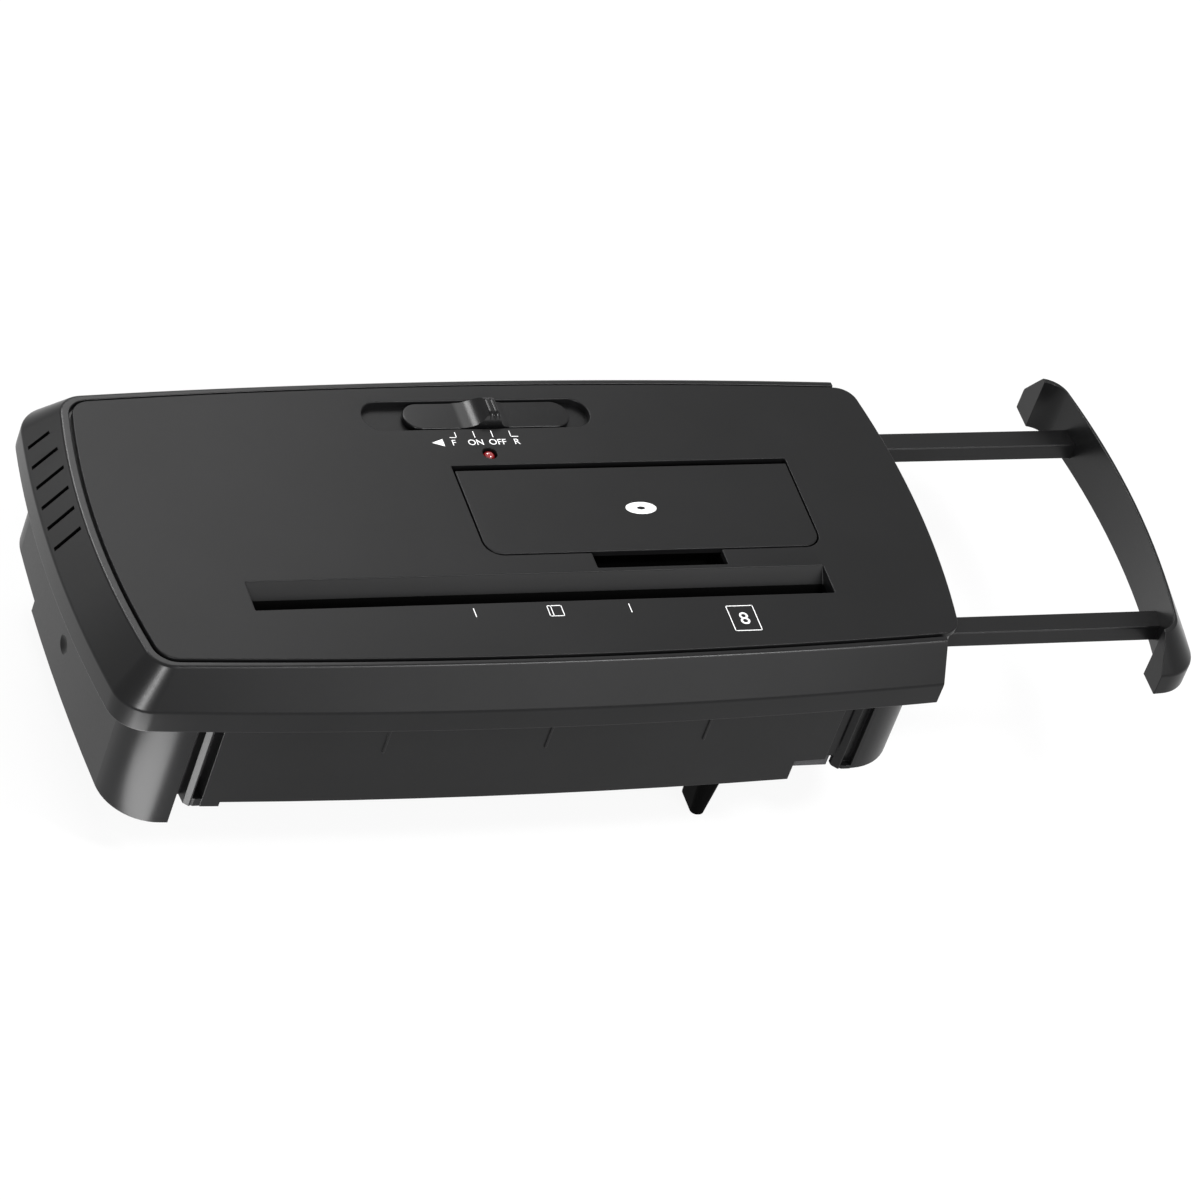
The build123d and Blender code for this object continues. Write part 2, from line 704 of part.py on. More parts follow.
front_centre = (front_y, shaft_level)
rear_centre = (rear_y, shaft_level)
cd_centre = (cd_y, shaft_level)
drive_distance = drive_module * (drive_teeth + second_pinion_teeth) / 2
middle_distance = middle_module * (second_teeth + first_pinion_teeth) / 2
motor_distance = motor_module * (first_teeth + pinion_teeth) / 2
second_centre = step_from(rear_centre, drive_distance, second_direction)
first_centre = step_from(second_centre, middle_distance, first_direction)
motor_centre = step_from(first_centre, motor_distance, motor_direction)
sync_front_turn = mesh_turn(0, sync_teeth, sync_teeth, 180)
sync_cd_turn = mesh_turn(0, sync_teeth, sync_teeth, 0)
second_turn = mesh_turn(0, drive_teeth, second_pinion_teeth, second_direction)
first_turn = mesh_turn(second_turn, second_teeth, first_pinion_teeth, first_direction)
pinion_turn = mesh_turn(first_turn, first_teeth, pinion_teeth, motor_direction)


def compound_gear(centre, turn, big, small, big_span, small_span):
    hub_span = (min(big_span[0], small_span[0]), max(big_span[1], small_span[1]))
    bore = axle_radius + running_clearance
    hub_radius = small[0] * small[1] / 2 - 1.05 * small[0]
    wheel = gear(big[0], big[1], turn, centre, big_span, bore)
    wheel += gear(small[0], small[1], turn, centre, small_span, bore)
    hub = along_x(Pos(*centre) * (Circle(max(hub_radius, bore + 0.9)) - Circle(bore)), hub_span)
    return wheel + hub


def make_side_plate(x_span, y_span, z_low, corner, holes):
    plate = block(x_span, y_span, (z_low, plate_top))
    plate = chamfer(plate.edges().filter_by(Axis.X).group_by(Axis.Z)[0], corner)
    for y, z, radius in holes:
        plate -= rod((x_span[0] - 1, x_span[1] + 1), y, z, radius)
    return plate


tie_places = [(front_y - 9.5, 33.0), (nip_y, 30.0), (cd_y + 13.0, 31.0)]
tie_radius = 3.0
post_places = [(-44.8, 33.0), (-46.6, 63.5), (46.0, 28.5), (46.0, 63.5)]
post_radius = 2.6


def bush(x_span, y):
    ring = Circle(bush_radius) - Circle(journal_radius + running_clearance)
    return along_x(Pos(y, shaft_level) * ring, x_span)


def comb(finger, bar, first_x, count, bar_span):
    rake = along_x(bar, bar_span)
    for number in range(count):
        x = first_x + number * 2 * strip_width
        rake += along_x(finger, (x + 0.5, x + 2 * strip_width - disc_width - 0.5))
    return rake


finger_reach = boss_radius + 1.0


def hooked_finger(y, sign):
    shape = polygon([
        (y + sign * 16.2, shaft_level + 2),
        (y + sign * 16.2, shaft_level - 18),
        (y + sign * 3.0, shaft_level - 18),
        (y, shaft_level - 10),
        (y, shaft_level + 2),
    ])
    return shape - Pos(y, shaft_level) * Circle(finger_reach)


def hooked_bar(y, sign):
    reach = [(16.2, 41.0), (16.2, 29.0), (-2.0, 29.0), (-2.0, 32.2), (13.6, 34.2), (15.4, 41.0)]
    return polygon([(y + sign * out, z) for out, z in reach])


def make_front_comb():
    finger, bar = hooked_finger(front_y, -1), hooked_bar(front_y, -1)
    bar_span = (left_plate[1], right_plate[0])
    rake = comb(finger, bar, first_front_disc + disc_width, front_disc_count - 1, bar_span)
    return rake - rod(bar_span, *tie_places[0], tie_radius)


def make_rear_comb():
    finger = polygon([(rear_y - 2.2, 29), (rear_y + 2.2, 29), (rear_y + 2.2, 38.0), (rear_y - 2.2, 38.0)])
    finger -= Pos(*rear_centre) * Circle(finger_reach)
    bar = polygon([(rear_y - 3.4, 26.0), (rear_y + 3.4, 26.0), (rear_y + 3.4, 31.0), (rear_y - 3.4, 31.0)])
    bar_span = (left_plate[1], right_plate[0])
    return comb(finger, bar, first_rear_disc + disc_width, rear_disc_count - 1, bar_span)


def make_cd_comb():
    finger, bar = hooked_finger(cd_y, 1), hooked_bar(cd_y, 1)
    bar_span = (-16.0, right_plate[0])
    rake = comb(finger, bar, first_cd_disc + disc_width, cd_disc_count - 1, bar_span)
    return rake - rod(bar_span, *tie_places[2], tie_radius)


# Motor
pinion_bore = 2.0
fan_span = (-35.5, -27.5)


def make_motor_shaft():
    nose = rod(pinion_span, *motor_centre, pinion_bore)
    return nose + rod((pinion_span[1], fan_span[1]), *motor_centre, axle_radius)


def make_motor_can():
    y, z = motor_centre
    ring = Circle(motor_radius) - Circle(motor_radius - 2.0)
    can = along_x(Pos(y, z) * ring, (motor_left, motor_right))
    face = Circle(motor_radius - 2.0) - Circle(axle_radius + running_clearance)
    return can + along_x(Pos(y, z) * face, (motor_left, motor_left + 2.5))


def make_motor_end_bell():
    y, z = motor_centre
    face = Circle(motor_radius) - Circle(axle_radius + running_clearance)
    bell = along_x(Pos(y, z) * face, (motor_right, motor_right + 2.5))
    for number in range(4):
        place = step_from(motor_centre, 12.0, 45 + 90 * number)
        bell -= rod((motor_right - 1, motor_right + 4), place[0], place[1], 3.0)
    return bell


def make_cooling_fan():
    y, z = motor_centre
    fan = along_x(Pos(y, z) * (Circle(6.0) - Circle(axle_radius)), fan_span)
    blade_count = 7
    for number in range(blade_count):
        spoke = Pos(sum(fan_span) / 2, y, z) * Rot(360 / blade_count * number, 0, 0)
        fan += spoke * Pos(0, 0, 12.0) * Rot(0, 0, 35) * Box(1.2, 8.0, 13.5)
    return fan


def make_sensor_lever():
    lever = rod((sensor_x - 2, sensor_x + 2), sensor_y, sensor_z, 2.6)
    arm_span = (sensor_x - 1.4, sensor_x + 1.4)
    flag = [(-46.5, 72.0), (-40.0, 70.6), (-38.0, 67.0), (-37.2, 67.6), (-38.6, 72.6), (-46.5, 75.4)]
    shutter = [(-48.0, 75.5), (-46.0, 75.5), (-47.6, 81.0), (-49.0, 81.0)]
    for outline in (flag, shutter):
        lever += along_x(polygon(outline), arm_span)
    bore = sensor_pin_radius + running_clearance
    return lever - rod((sensor_x - 3, sensor_x + 3), sensor_y, sensor_z, bore)


def make_sensor_bracket():
    body = block((sensor_x - 7, sensor_x + 7), (-61.0, -52.5), (70.0, 81.5))
    for x_span in ((sensor_x - 7, sensor_x - 5), (sensor_x + 5, sensor_x + 7)):
        ear = block(x_span, (-54.0, -45.0), (71.0, 77.0))
        body += ear - rod((sensor_x - 8, sensor_x + 8), sensor_y, sensor_z, sensor_pin_radius)
    body += block((sensor_x - 7, sensor_x + 7), (-61.0, -57.0), (81.5, panel_top - panel_thickness))
    return body


def make_control_board():
    board = block((8, 104), (36, 60), (38.4, 40.0))
    for x in (13, 99):
        for y in (40, 56):
            board += post(x, y, (floor_top, 38.4), 2.5)
    return board


def make_capacitor():
    can = Pos(60, 52, 44.5) * Rot(0, 90, 0) * Cylinder(4.5, 22)
    return can + block((52, 68), (49, 55), (40, 42))


def make_relay():
    return block((20, 40), (42, 58), (40, 56)) - block((22, 38), (44, 56), (55, 56))


def make_terminal_block():
    body = block((80, 98), (42, 52), (40, 52))
    for number in range(3):
        x = 83 + number * 6
        body -= block((x - 1.8, x + 1.8), (41, 46), (42, 49))
    return body


def make_cord_inlet():
    ring = Circle(inlet_radius - 0.05) - Circle(3.4)
    flange = Circle(inlet_radius + 1.6) - Circle(3.4)
    outward = Plane(origin=(inlet_x, casing_depth - 6, inlet_z), x_dir=(1, 0, 0), z_dir=(0, 1, 0))
    collar = extrude(outward * ring, amount=6.4)
    return collar + extrude(outward.offset(6.4) * flange, amount=1.6)


def group(pieces):
    solids = []
    for piece in pieces:
        solids += piece.solids()
    return Compound(solids)


shaft_rows = (front_y, rear_y, cd_y)
bush_holes = [(y, shaft_level, bush_radius) for y in shaft_rows]
tie_holes = [(*place, tie_radius) for place in tie_places]
post_holes = [(*place, post_radius) for place in post_places]
axle_holes = [(*centre, axle_radius) for centre in (first_centre, second_centre)]
left_holes = bush_holes + tie_holes + post_holes + axle_holes + [(*motor_centre, 2 * axle_radius)]
right_holes = bush_holes + tie_holes
plate_holes = [(*rear_centre, bush_radius)] + axle_holes + post_holes
bush_spans = ((-122.0, -116.0), (116.0, 122.0))
axle_span = (gear_plate_span[0], left_plate[1])
motor_screw_places = [step_from(motor_centre, 14.0, angle) for angle in (30, 210)]

parts = {
    "upper_cover": make_upper_cover(),
    "top_panel": make_top_panel(),
    "lower_casing": make_lower_casing(),
    "bottom_cover": make_bottom_cover(),
    "right_end_cap": make_right_end_cap(),
    "paper_chute": make_paper_chute(),
    "cd_chute": make_cd_chute(),
    "cd_lid": make_cd_lid(),
    "lid_hinge_pin": rod(hinge_pin_span, hinge_y, hinge_z, hinge_pin_radius),
    "mode_slider": make_mode_slider(),
    "slide_switch": make_slide_switch(),
    "led_lens": make_led_lens(),
    "arm_handle": make_arm_handle(),
    "front_rail": make_rail(-1),
    "back_rail": make_rail(1),
    "arm_screws": make_arm_screws(),
    "left_side_plate": make_side_plate(left_plate, (-70.6, 66), 24, 5.0, left_holes),
    "right_side_plate": make_side_plate(right_plate, (-68.6, 30), 26, 7.0, right_holes),
    "tie_bars": group([rod((left_plate[0], right_plate[1]), *place, tie_radius) for place in tie_places]),
    "shaft_bushes": group([bush(span, y) for y in shaft_rows for span in bush_spans]
                          + [bush(gear_plate_span, rear_y)]),
    "front_shaft": cutter_shaft(front_y, -122.0, sync_span[1]),
    "rear_shaft": cutter_shaft(rear_y, gear_plate_span[0], sync_span[1]),
    "cd_shaft": cutter_shaft(cd_y, -122.0, sync_span[1]),
    "front_discs": cutter_discs(front_y, first_front_disc, front_disc_count),
    "rear_discs": cutter_discs(rear_y, first_rear_disc, rear_disc_count),
    "cd_discs": cutter_discs(cd_y, first_cd_disc, cd_disc_count),
    "front_comb": make_front_comb(),
    "rear_comb": make_rear_comb(),
    "cd_comb": make_cd_comb(),
    "front_sync_gear": sync_gear(sync_front_turn, front_centre),
    "rear_sync_gear": sync_gear(0, rear_centre),
    "cd_sync_gear": sync_gear(sync_cd_turn, cd_centre),
    "drive_gear": gear(drive_module, drive_teeth, 0, rear_centre, drive_span, journal_radius),
    "second_gear": compound_gear(second_centre, second_turn, (middle_module, second_teeth),
                                 (drive_module, second_pinion_teeth), middle_span, drive_span),
    "first_gear": compound_gear(first_centre, first_turn, (motor_module, first_teeth),
                                (middle_module, first_pinion_teeth), pinion_span, middle_span),
    "motor_pinion": gear(motor_module, pinion_teeth, pinion_turn, motor_centre, pinion_span, pinion_bore),
    "motor_shaft": make_motor_shaft(),
    "armature": along_x(Pos(*motor_centre) * (Circle(15.5) - Circle(axle_radius)), (-108, -52)),
    "cooling_fan": make_cooling_fan(),
    "motor_can": make_motor_can(),
    "motor_end_bell": make_motor_end_bell(),
    "motor_screws": group([rod((-123.2, left_plate[0]), y, z, 3.0) for y, z in motor_screw_places]),
    "gear_axles": group([rod(axle_span, *centre, axle_radius) for centre in (first_centre, second_centre)]),
    "gear_plate": make_side_plate(gear_plate_span, (-50.5, 50.5), 24, 3.0, plate_holes),
    "gear_posts": group([rod(axle_span, *place, post_radius) for place in post_places]),
    "control_board": make_control_board(),
    "relay": make_relay(),
    "capacitor": make_capacitor(),
    "terminal_block": make_terminal_block(),
    "sensor_lever": make_sensor_lever(),
    "sensor_bracket": make_sensor_bracket(),
    "sensor_pin": rod((sensor_x - 7, sensor_x + 7), sensor_y, sensor_z, sensor_pin_radius),
    "cord_inlet": make_cord_inlet(),
    "cover_screws": make_cover_screws(),
    "base_screws": make_base_screws(),
}

for name, shape in parts.items():
    export_step(Pos(-footprint_middle, 0, 0) * shape, f"parts/{name}.step")

print(len(parts), "parts saved")
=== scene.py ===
import bpy
import bmesh
import json
import math
from mathutils import Euler, Matrix, Vector


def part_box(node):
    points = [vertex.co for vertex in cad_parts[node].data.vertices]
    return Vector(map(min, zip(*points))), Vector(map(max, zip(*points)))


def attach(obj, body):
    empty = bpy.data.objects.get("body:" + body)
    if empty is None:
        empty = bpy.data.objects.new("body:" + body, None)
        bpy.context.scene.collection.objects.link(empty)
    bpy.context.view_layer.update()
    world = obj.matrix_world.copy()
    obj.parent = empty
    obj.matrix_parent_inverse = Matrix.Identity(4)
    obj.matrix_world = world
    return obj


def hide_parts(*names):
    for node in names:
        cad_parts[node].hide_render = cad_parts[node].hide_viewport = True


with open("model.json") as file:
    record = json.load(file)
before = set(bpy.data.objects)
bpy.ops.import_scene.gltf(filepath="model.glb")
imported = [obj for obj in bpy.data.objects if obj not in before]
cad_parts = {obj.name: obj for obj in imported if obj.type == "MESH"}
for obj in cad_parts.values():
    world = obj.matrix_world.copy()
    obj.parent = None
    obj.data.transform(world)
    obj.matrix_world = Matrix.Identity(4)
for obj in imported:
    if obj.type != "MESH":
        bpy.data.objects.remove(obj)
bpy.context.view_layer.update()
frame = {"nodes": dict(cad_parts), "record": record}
nodes = frame["nodes"]
bodies = frame["record"]["behaviour"]["bodies"]
slotOf = {part["node"]: part["material_slot"] for part in frame["record"]["subparts"]}
bodyOf = {node: body for body, members in bodies.items() for node in members}
scene = bpy.context.scene
scene.view_settings.view_transform = "Standard"
mm = 0.001
touching = 0.001 * mm  # points closer than this are one
cutPast = 1.0  # millimetres that a cutter runs past the face it opens
slotMiddle = sum(corner[0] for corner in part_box("paper_chute")) / 2  # the paper slot's middle along x
print("frame loaded:", len(nodes), "nodes")


# finishes

def newFinish(name):
    finish = bpy.data.materials.new(name)
    finish.use_nodes = True
    tree = finish.node_tree
    shader = tree.nodes["Principled BSDF"]
    place = tree.nodes.new("ShaderNodeTexCoord").outputs["Object"]
    return finish, tree, shader, place


def noise(tree, place, scale, detail=2.0, stretch=None):
    if stretch:
        turn = tree.nodes.new("ShaderNodeMapping")
        turn.inputs["Scale"].default_value = stretch
        tree.links.new(place, turn.inputs["Vector"])
        place = turn.outputs["Vector"]
    pattern = tree.nodes.new("ShaderNodeTexNoise")
    pattern.inputs["Scale"].default_value = scale
    pattern.inputs["Detail"].default_value = detail
    tree.links.new(place, pattern.inputs["Vector"])
    return pattern.outputs["Fac"]


def spread(tree, value, low, high):  # noise mostly keeps between 0.3 and 0.7
    node = tree.nodes.new("ShaderNodeMapRange")
    node.inputs["From Min"].default_value = 0.3
    node.inputs["From Max"].default_value = 0.7
    node.inputs["To Min"].default_value = low
    node.inputs["To Max"].default_value = high
    tree.links.new(value, node.inputs["Value"])
    return node.outputs["Result"]


def shades(tree, value, dark, light):
    node = tree.nodes.new("ShaderNodeMix")
    node.data_type = "RGBA"
    node.inputs["A"].default_value = (*dark, 1)
    node.inputs["B"].default_value = (*light, 1)
    tree.links.new(value, node.inputs["Factor"])
    return node.outputs["Result"]


def bumped(tree, shader, value, strength, depth, edge=0.0):
    node = tree.nodes.new("ShaderNodeBump")
    node.inputs["Strength"].default_value = strength
    node.inputs["Distance"].default_value = depth
    tree.links.new(value, node.inputs["Height"])
    if edge:
        soft = tree.nodes.new("ShaderNodeBevel")  # moulded edges are never razor sharp
        soft.samples = 6
        soft.inputs["Radius"].default_value = edge
        tree.links.new(soft.outputs["Normal"], node.inputs["Normal"])
    tree.links.new(node.outputs["Normal"], shader.inputs["Normal"])


# moulded plastic: fine spark-eroded grain, faint flow clouds, roughness that wanders a little
plasticLook = {
    "cloudScale": 28, "cloudDark": 0.85, "cloudLight": 1.15,
    "wanderScale": 900, "wander": (-0.015, 0.02), "grainDepth": 0.03 * mm,
}


def mouldedPlastic(name, tone, rough, grain=2400, strength=0.16, specular=0.28, edge=0.0):
    look = plasticLook
    finish, tree, shader, place = newFinish(name)
    clouds = spread(tree, noise(tree, place, look["cloudScale"], 3), 0, 1)
    dark = [t * look["cloudDark"] for t in tone]
    light = [t * look["cloudLight"] for t in tone]
    tree.links.new(shades(tree, clouds, dark, light), shader.inputs["Base Color"])
    low, high = look["wander"]
    wander = spread(tree, noise(tree, place, look["wanderScale"], 2), rough + low, rough + high)
    tree.links.new(wander, shader.inputs["Roughness"])
    bumped(tree, shader, noise(tree, place, grain, 2), strength, look["grainDepth"], edge)
    shader.inputs["Specular IOR Level"].default_value = specular
    return finish


# drawn, ground or plated metal: scratches, stretched along one axis where it was drawn
metalLook = {"scratchScale": 60, "wander": (-0.08, 0.1), "bump": 0.2, "depth": 0.03 * mm, "edge": 0.15 * mm}


def workedSteel(name, dark, light, rough, along=(1, 40, 40)):
    look = metalLook
    finish, tree, shader, place = newFinish(name)
    scratches = noise(tree, place, look["scratchScale"], 4, along)
    tree.links.new(shades(tree, scratches, dark, light), shader.inputs["Base Color"])
    low, high = look["wander"]
    tree.links.new(spread(tree, scratches, rough + low, rough + high), shader.inputs["Roughness"])
    bumped(tree, shader, scratches, look["bump"], look["depth"], look["edge"])
    shader.inputs["Metallic"].default_value = 1.0
    return finish


inkLook = {"tone": (0.86, 0.86, 0.86), "worn": 0.86, "speckleScale": 1800, "rough": (0.5, 0.62)}


def whiteInk(name):
    look = inkLook
    finish, tree, shader, place = newFinish(name)
    speckle = noise(tree, place, look["speckleScale"], 2)
    dark = [t * look["worn"] for t in look["tone"]]
    white = shades(tree, spread(tree, speckle, 0, 1), dark, look["tone"])
    tree.links.new(white, shader.inputs["Base Color"])
    tree.links.new(spread(tree, speckle, *look["rough"]), shader.inputs["Roughness"])
    return finish


lensLook = {
    "dark": (0.13, 0.003, 0.005), "light": (0.22, 0.006, 0.009), "cloudScale": 500, "rough": (0.06, 0.14),
    "coat": 0.6, "glow": (0.6, 0.01, 0.012, 1), "glowStrength": 0.06,
}


def clearRed(name):
    look = lensLook
    finish, tree, shader, place = newFinish(name)
    clouds = noise(tree, place, look["cloudScale"], 1)
    tree.links.new(shades(tree, clouds, look["dark"], look["light"]), shader.inputs["Base Color"])
    tree.links.new(spread(tree, clouds, *look["rough"]), shader.inputs["Roughness"])
    shader.inputs["Coat Weight"].default_value = look["coat"]
    shader.inputs["Emission Color"].default_value = look["glow"]
    shader.inputs["Emission Strength"].default_value = look["glowStrength"]
    return finish


finishes = {
    "cover_plastic": mouldedPlastic("satinCover", (0.0036, 0.0036, 0.0038), 0.29, specular=0.18),
    "panel_plastic": mouldedPlastic("mattPanel", (0.0038, 0.0038, 0.004), 0.38, 3000, 0.2, 0.14),
    "slider_plastic": mouldedPlastic("satinSlider", (0.0034, 0.0034, 0.0036), 0.22, 2600, 0.05, 0.15),
    "casing_plastic": mouldedPlastic("grainedCasing", (0.0034, 0.0034, 0.0036), 0.32, 1900, 0.14, 0.18,
                                     edge=0.35 * mm),
    # black of the inner parts, darker and less glossy than the outer plastics; it is also laid on the vent
    # walls and the paper throat as painted shade
    "inner_plastic": mouldedPlastic("innerBlackAndPaintedShade", (0.0012, 0.0012, 0.0012), 0.55, specular=0.01,
                                    edge=0.25 * mm),
    "comb_plastic": mouldedPlastic("combGrey", (0.036, 0.036, 0.038), 0.5, edge=0.15 * mm),
    "gear_nylon": mouldedPlastic("naturalNylon", (0.62, 0.6, 0.54), 0.45, specular=0.5, edge=0.15 * mm),
    "cutter_steel": workedSteel("oiledCutter", (0.22, 0.21, 0.2), (0.42, 0.42, 0.43), 0.34, (30, 30, 30)),
    "shaft_steel": workedSteel("drawnSteel", (0.2, 0.2, 0.205), (0.32, 0.32, 0.325), 0.38),
    "plate_steel": workedSteel("zincPlate", (0.48, 0.48, 0.46), (0.64, 0.64, 0.62), 0.4, (20, 20, 4)),
    "bush_brass": workedSteel("sinteredBush", (0.36, 0.24, 0.1), (0.55, 0.4, 0.2), 0.42, (25, 25, 25)),
    "screw_steel": workedSteel("blackScrew", (0.1, 0.1, 0.1), (0.2, 0.2, 0.21), 0.36, (20, 20, 20)),
    "lamp_red": clearRed("redLamp"),
    "board_green": mouldedPlastic("solderMask", (0.016, 0.11, 0.042), 0.34, specular=0.5),
    "relay_plastic": mouldedPlastic("relayCase", (0.025, 0.025, 0.03), 0.4, edge=0.2 * mm),
    "capacitor_sleeve": mouldedPlastic("shrinkSleeve", (0.016, 0.025, 0.1), 0.25, specular=0.5,
                                       edge=0.3 * mm),
    "armature_steel": workedSteel("laminations", (0.12, 0.09, 0.07), (0.26, 0.2, 0.16), 0.5, (90, 2, 2)),
    "gland_rubber": mouldedPlastic("glandRubber", (0.01, 0.01, 0.01), 0.65, edge=0.3 * mm),
}
ink = whiteInk("printedWhite")
for node, thing in nodes.items():
    thing.data.materials.clear()
    thing.data.materials.append(finishes[slotOf[node]])
print("finishes set:", len(finishes))


# working tools

def at(x, y, z):  # millimetres from the slot's middle to the frame
    return Vector((slotMiddle + x * mm, y * mm, z * mm))


def linked(name, mesh, finish):
    piece = bpy.data.objects.new(name, mesh)
    scene.collection.objects.link(piece)
    piece.data.materials.clear()
    piece.data.materials.append(finish)
    return piece


def baked(piece):
    bpy.context.view_layer.update()
    graph = bpy.context.evaluated_depsgraph_get()
    mesh = bpy.data.meshes.new_from_object(piece.evaluated_get(graph))
    old = piece.data
    piece.modifiers.clear()
    piece.data = mesh
    bpy.data.meshes.remove(old)
    return piece


def pieceFrom(form, name, finish):
    bmesh.ops.recalc_face_normals(form, faces=form.faces)
    mesh = bpy.data.meshes.new(name)
    form.to_mesh(mesh)
    form.free()
    return linked(name, mesh, finish)


# flat faces keep their own normal and the small rounds between them carry the turn
def smoothed(piece, sharp=52):
    piece.data.shade_smooth()
    piece.data.set_sharp_from_angle(angle=math.radians(sharp))
    flow = piece.modifiers.new("faceFlow", "WEIGHTED_NORMAL")
    flow.keep_sharp = True
    return baked(piece)


def standsFor(piece, *replaced):
    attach(piece, bodyOf[replaced[0]])
    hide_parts(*replaced)
    print("piece", piece.name, len(piece.data.polygons), "faces")
    return piece


def carved(piece, form, operation):  # takes closed shapes out of a piece, or adds them to it
    tool = pieceFrom(form, "carvingTool", piece.data.materials[0])
    carve = piece.modifiers.new("carve", "BOOLEAN")
    carve.operation = operation
    carve.solver = "EXACT"
    carve.material_mode = "TRANSFER"
    carve.object = tool
    baked(piece)
    bpy.data.meshes.remove(tool.data)  # its object goes with it
    return piece


def welded(form):
    bmesh.ops.remove_doubles(form, verts=form.verts, dist=touching)
    return form


def loft(form, rings, closed=False):
    rows = [[form.verts.new(point) for point in ring] for ring in rings]
    pairs = list(zip(rows, rows[1:]))
    if closed:
        pairs.append((rows[-1], rows[0]))
    for low, high in pairs:
        for i in range(len(low)):
            form.faces.new((low[i - 1], low[i], high[i], high[i - 1]))
    return rows


def fillLevel(form, *loops):  # a flat face with holes
    edges = [form.edges.get((loop[i - 1], loop[i])) for loop in loops for i in range(len(loop))]
    bmesh.ops.triangle_fill(form, use_beauty=True, use_dissolve=False, edges=edges, normal=(0, 0, 1))


def quarter(radius, steps=3):  # drop and inset along a rounded top edge, from the flat to the wall
    turns = [math.radians(90) * i / steps for i in range(steps + 1)]
    return [(radius * (1 - math.cos(t)), radius * (1 - math.sin(t))) for t in turns]


def arc(centre, radius, start, end, steps):  # the short way round, without its last point
    turn = (end - start + math.pi) % (2 * math.pi) - math.pi
    angles = [start + turn * i / steps for i in range(steps)]
    return [(centre[0] + radius * math.cos(a), centre[1] + radius * math.sin(a)) for a in angles]


def circle2d(x, y, radius, steps=40):
    turns = [2 * math.pi * i / steps for i in range(steps)]
    return [(x + radius * math.cos(turn), y + radius * math.sin(turn)) for turn in turns]


def ringAt(points, level):
    return [at(x, y, level) for x, y in points]


def addPost(form, x, y, radius, low, high):
    rows = loft(form, [ringAt(circle2d(x, y, radius), level) for level in (low, high)])
    for row in rows:
        form.faces.new(row)


# an outline with four bowed sides: reach at the middle of each side, reach at the corners, corner radius
ringSteps = {"long": 36, "short": 16, "corner": 12}


def cornerRound(first, second, radius, corner):
    away = Vector((second[0] - first[0], second[1] - first[1]))
    gap = away.length
    reach = first[2] - radius
    along = (reach ** 2 - (second[2] - radius) ** 2 + gap ** 2) / (2 * gap)
    rise = math.sqrt(max(reach ** 2 - along ** 2, 0))
    away.normalize()
    foot = Vector(first[:2]) + away * along
    sideways = Vector((-away.y, away.x)) * rise
    return min((foot + sideways, foot - sideways), key=lambda spot: (spot - Vector(corner)).length)


def bowedOutline(shape, grow=0.0):
    left, leftCorner, right, rightCorner, depth, cornerDepth, radius = [size + grow for size in shape]
    halfLong = (rightCorner + leftCorner) / 2
    middle = (rightCorner - leftCorner) / 2

    def bend(half, sag):
        return (half ** 2 + sag ** 2) / (2 * sag)

    rightBend = bend(cornerDepth, right - rightCorner)
    leftBend = bend(cornerDepth, left - leftCorner)
    longBend = bend(halfLong, depth - cornerDepth)
    sides = [
        (right - rightBend, 0, rightBend),
        (middle, depth - longBend, longBend),
        (leftBend - left, 0, leftBend),
        (middle, longBend - depth, longBend),
    ]
    corners = [
        (rightCorner, cornerDepth),
        (-leftCorner, cornerDepth),
        (-leftCorner, -cornerDepth),
        (rightCorner, -cornerDepth),
    ]
    rounds = [cornerRound(sides[i], sides[(i + 1) % 4], radius, corners[i]) for i in range(4)]

    def facing(side, spot):
        return math.atan2(spot.y - side[1], spot.x - side[0])

    points = []
    for i, side in enumerate(sides):
        steps = ringSteps["short"] if i % 2 == 0 else ringSteps["long"]
        after = sides[(i + 1) % 4]
        points += arc(side, side[2], facing(side, rounds[i - 1]), facing(side, rounds[i]), steps)
        turn = facing(side, rounds[i]), facing(after, rounds[i])
        points += arc(rounds[i], radius, *turn, ringSteps["corner"])
    return points


# upper cover: band, slope and rim round three sides, with a seat for the panel

coverForm = {
    "crease": (171.0, 164.5, 169.0, 162.7, 79.9, 73.9, 14.0),
    "rim": (161.5, 154.3, 161.0, 154.0, 70.2, 66.0, 10.0),
    "bottom": 66.0, "creaseLevel": 75.5, "rimLevel": 89.5,
    "wall": 1.8, "end": 147.3,
    "bottomRound": 0.5, "creaseRound": 2.4, "rimRound": 1.5, "creaseSteps": 4, "rimSteps": 5,
}
panelForm = {
    "outline": (157.6, 150.9, 159.2, 153.4, 67.2, 62.8, 8.0),
    "top": 90.0, "under": 87.6, "edgeRound": 0.4,
    "underRound": 0.2, "groove": 0.9, "grooveLip": 0.35, "ledge": 4.0, "ledgeUnder": 85.4,
}


def coverRing(share, level, inset=0.0):
    shape = [low + (high - low) * share for low, high in zip(coverForm["crease"], coverForm["rim"])]
    return ringAt(bowedOutline(shape, -inset), level)


def panelRing(grow, level):
    return ringAt(bowedOutline(panelForm["outline"], grow), level)


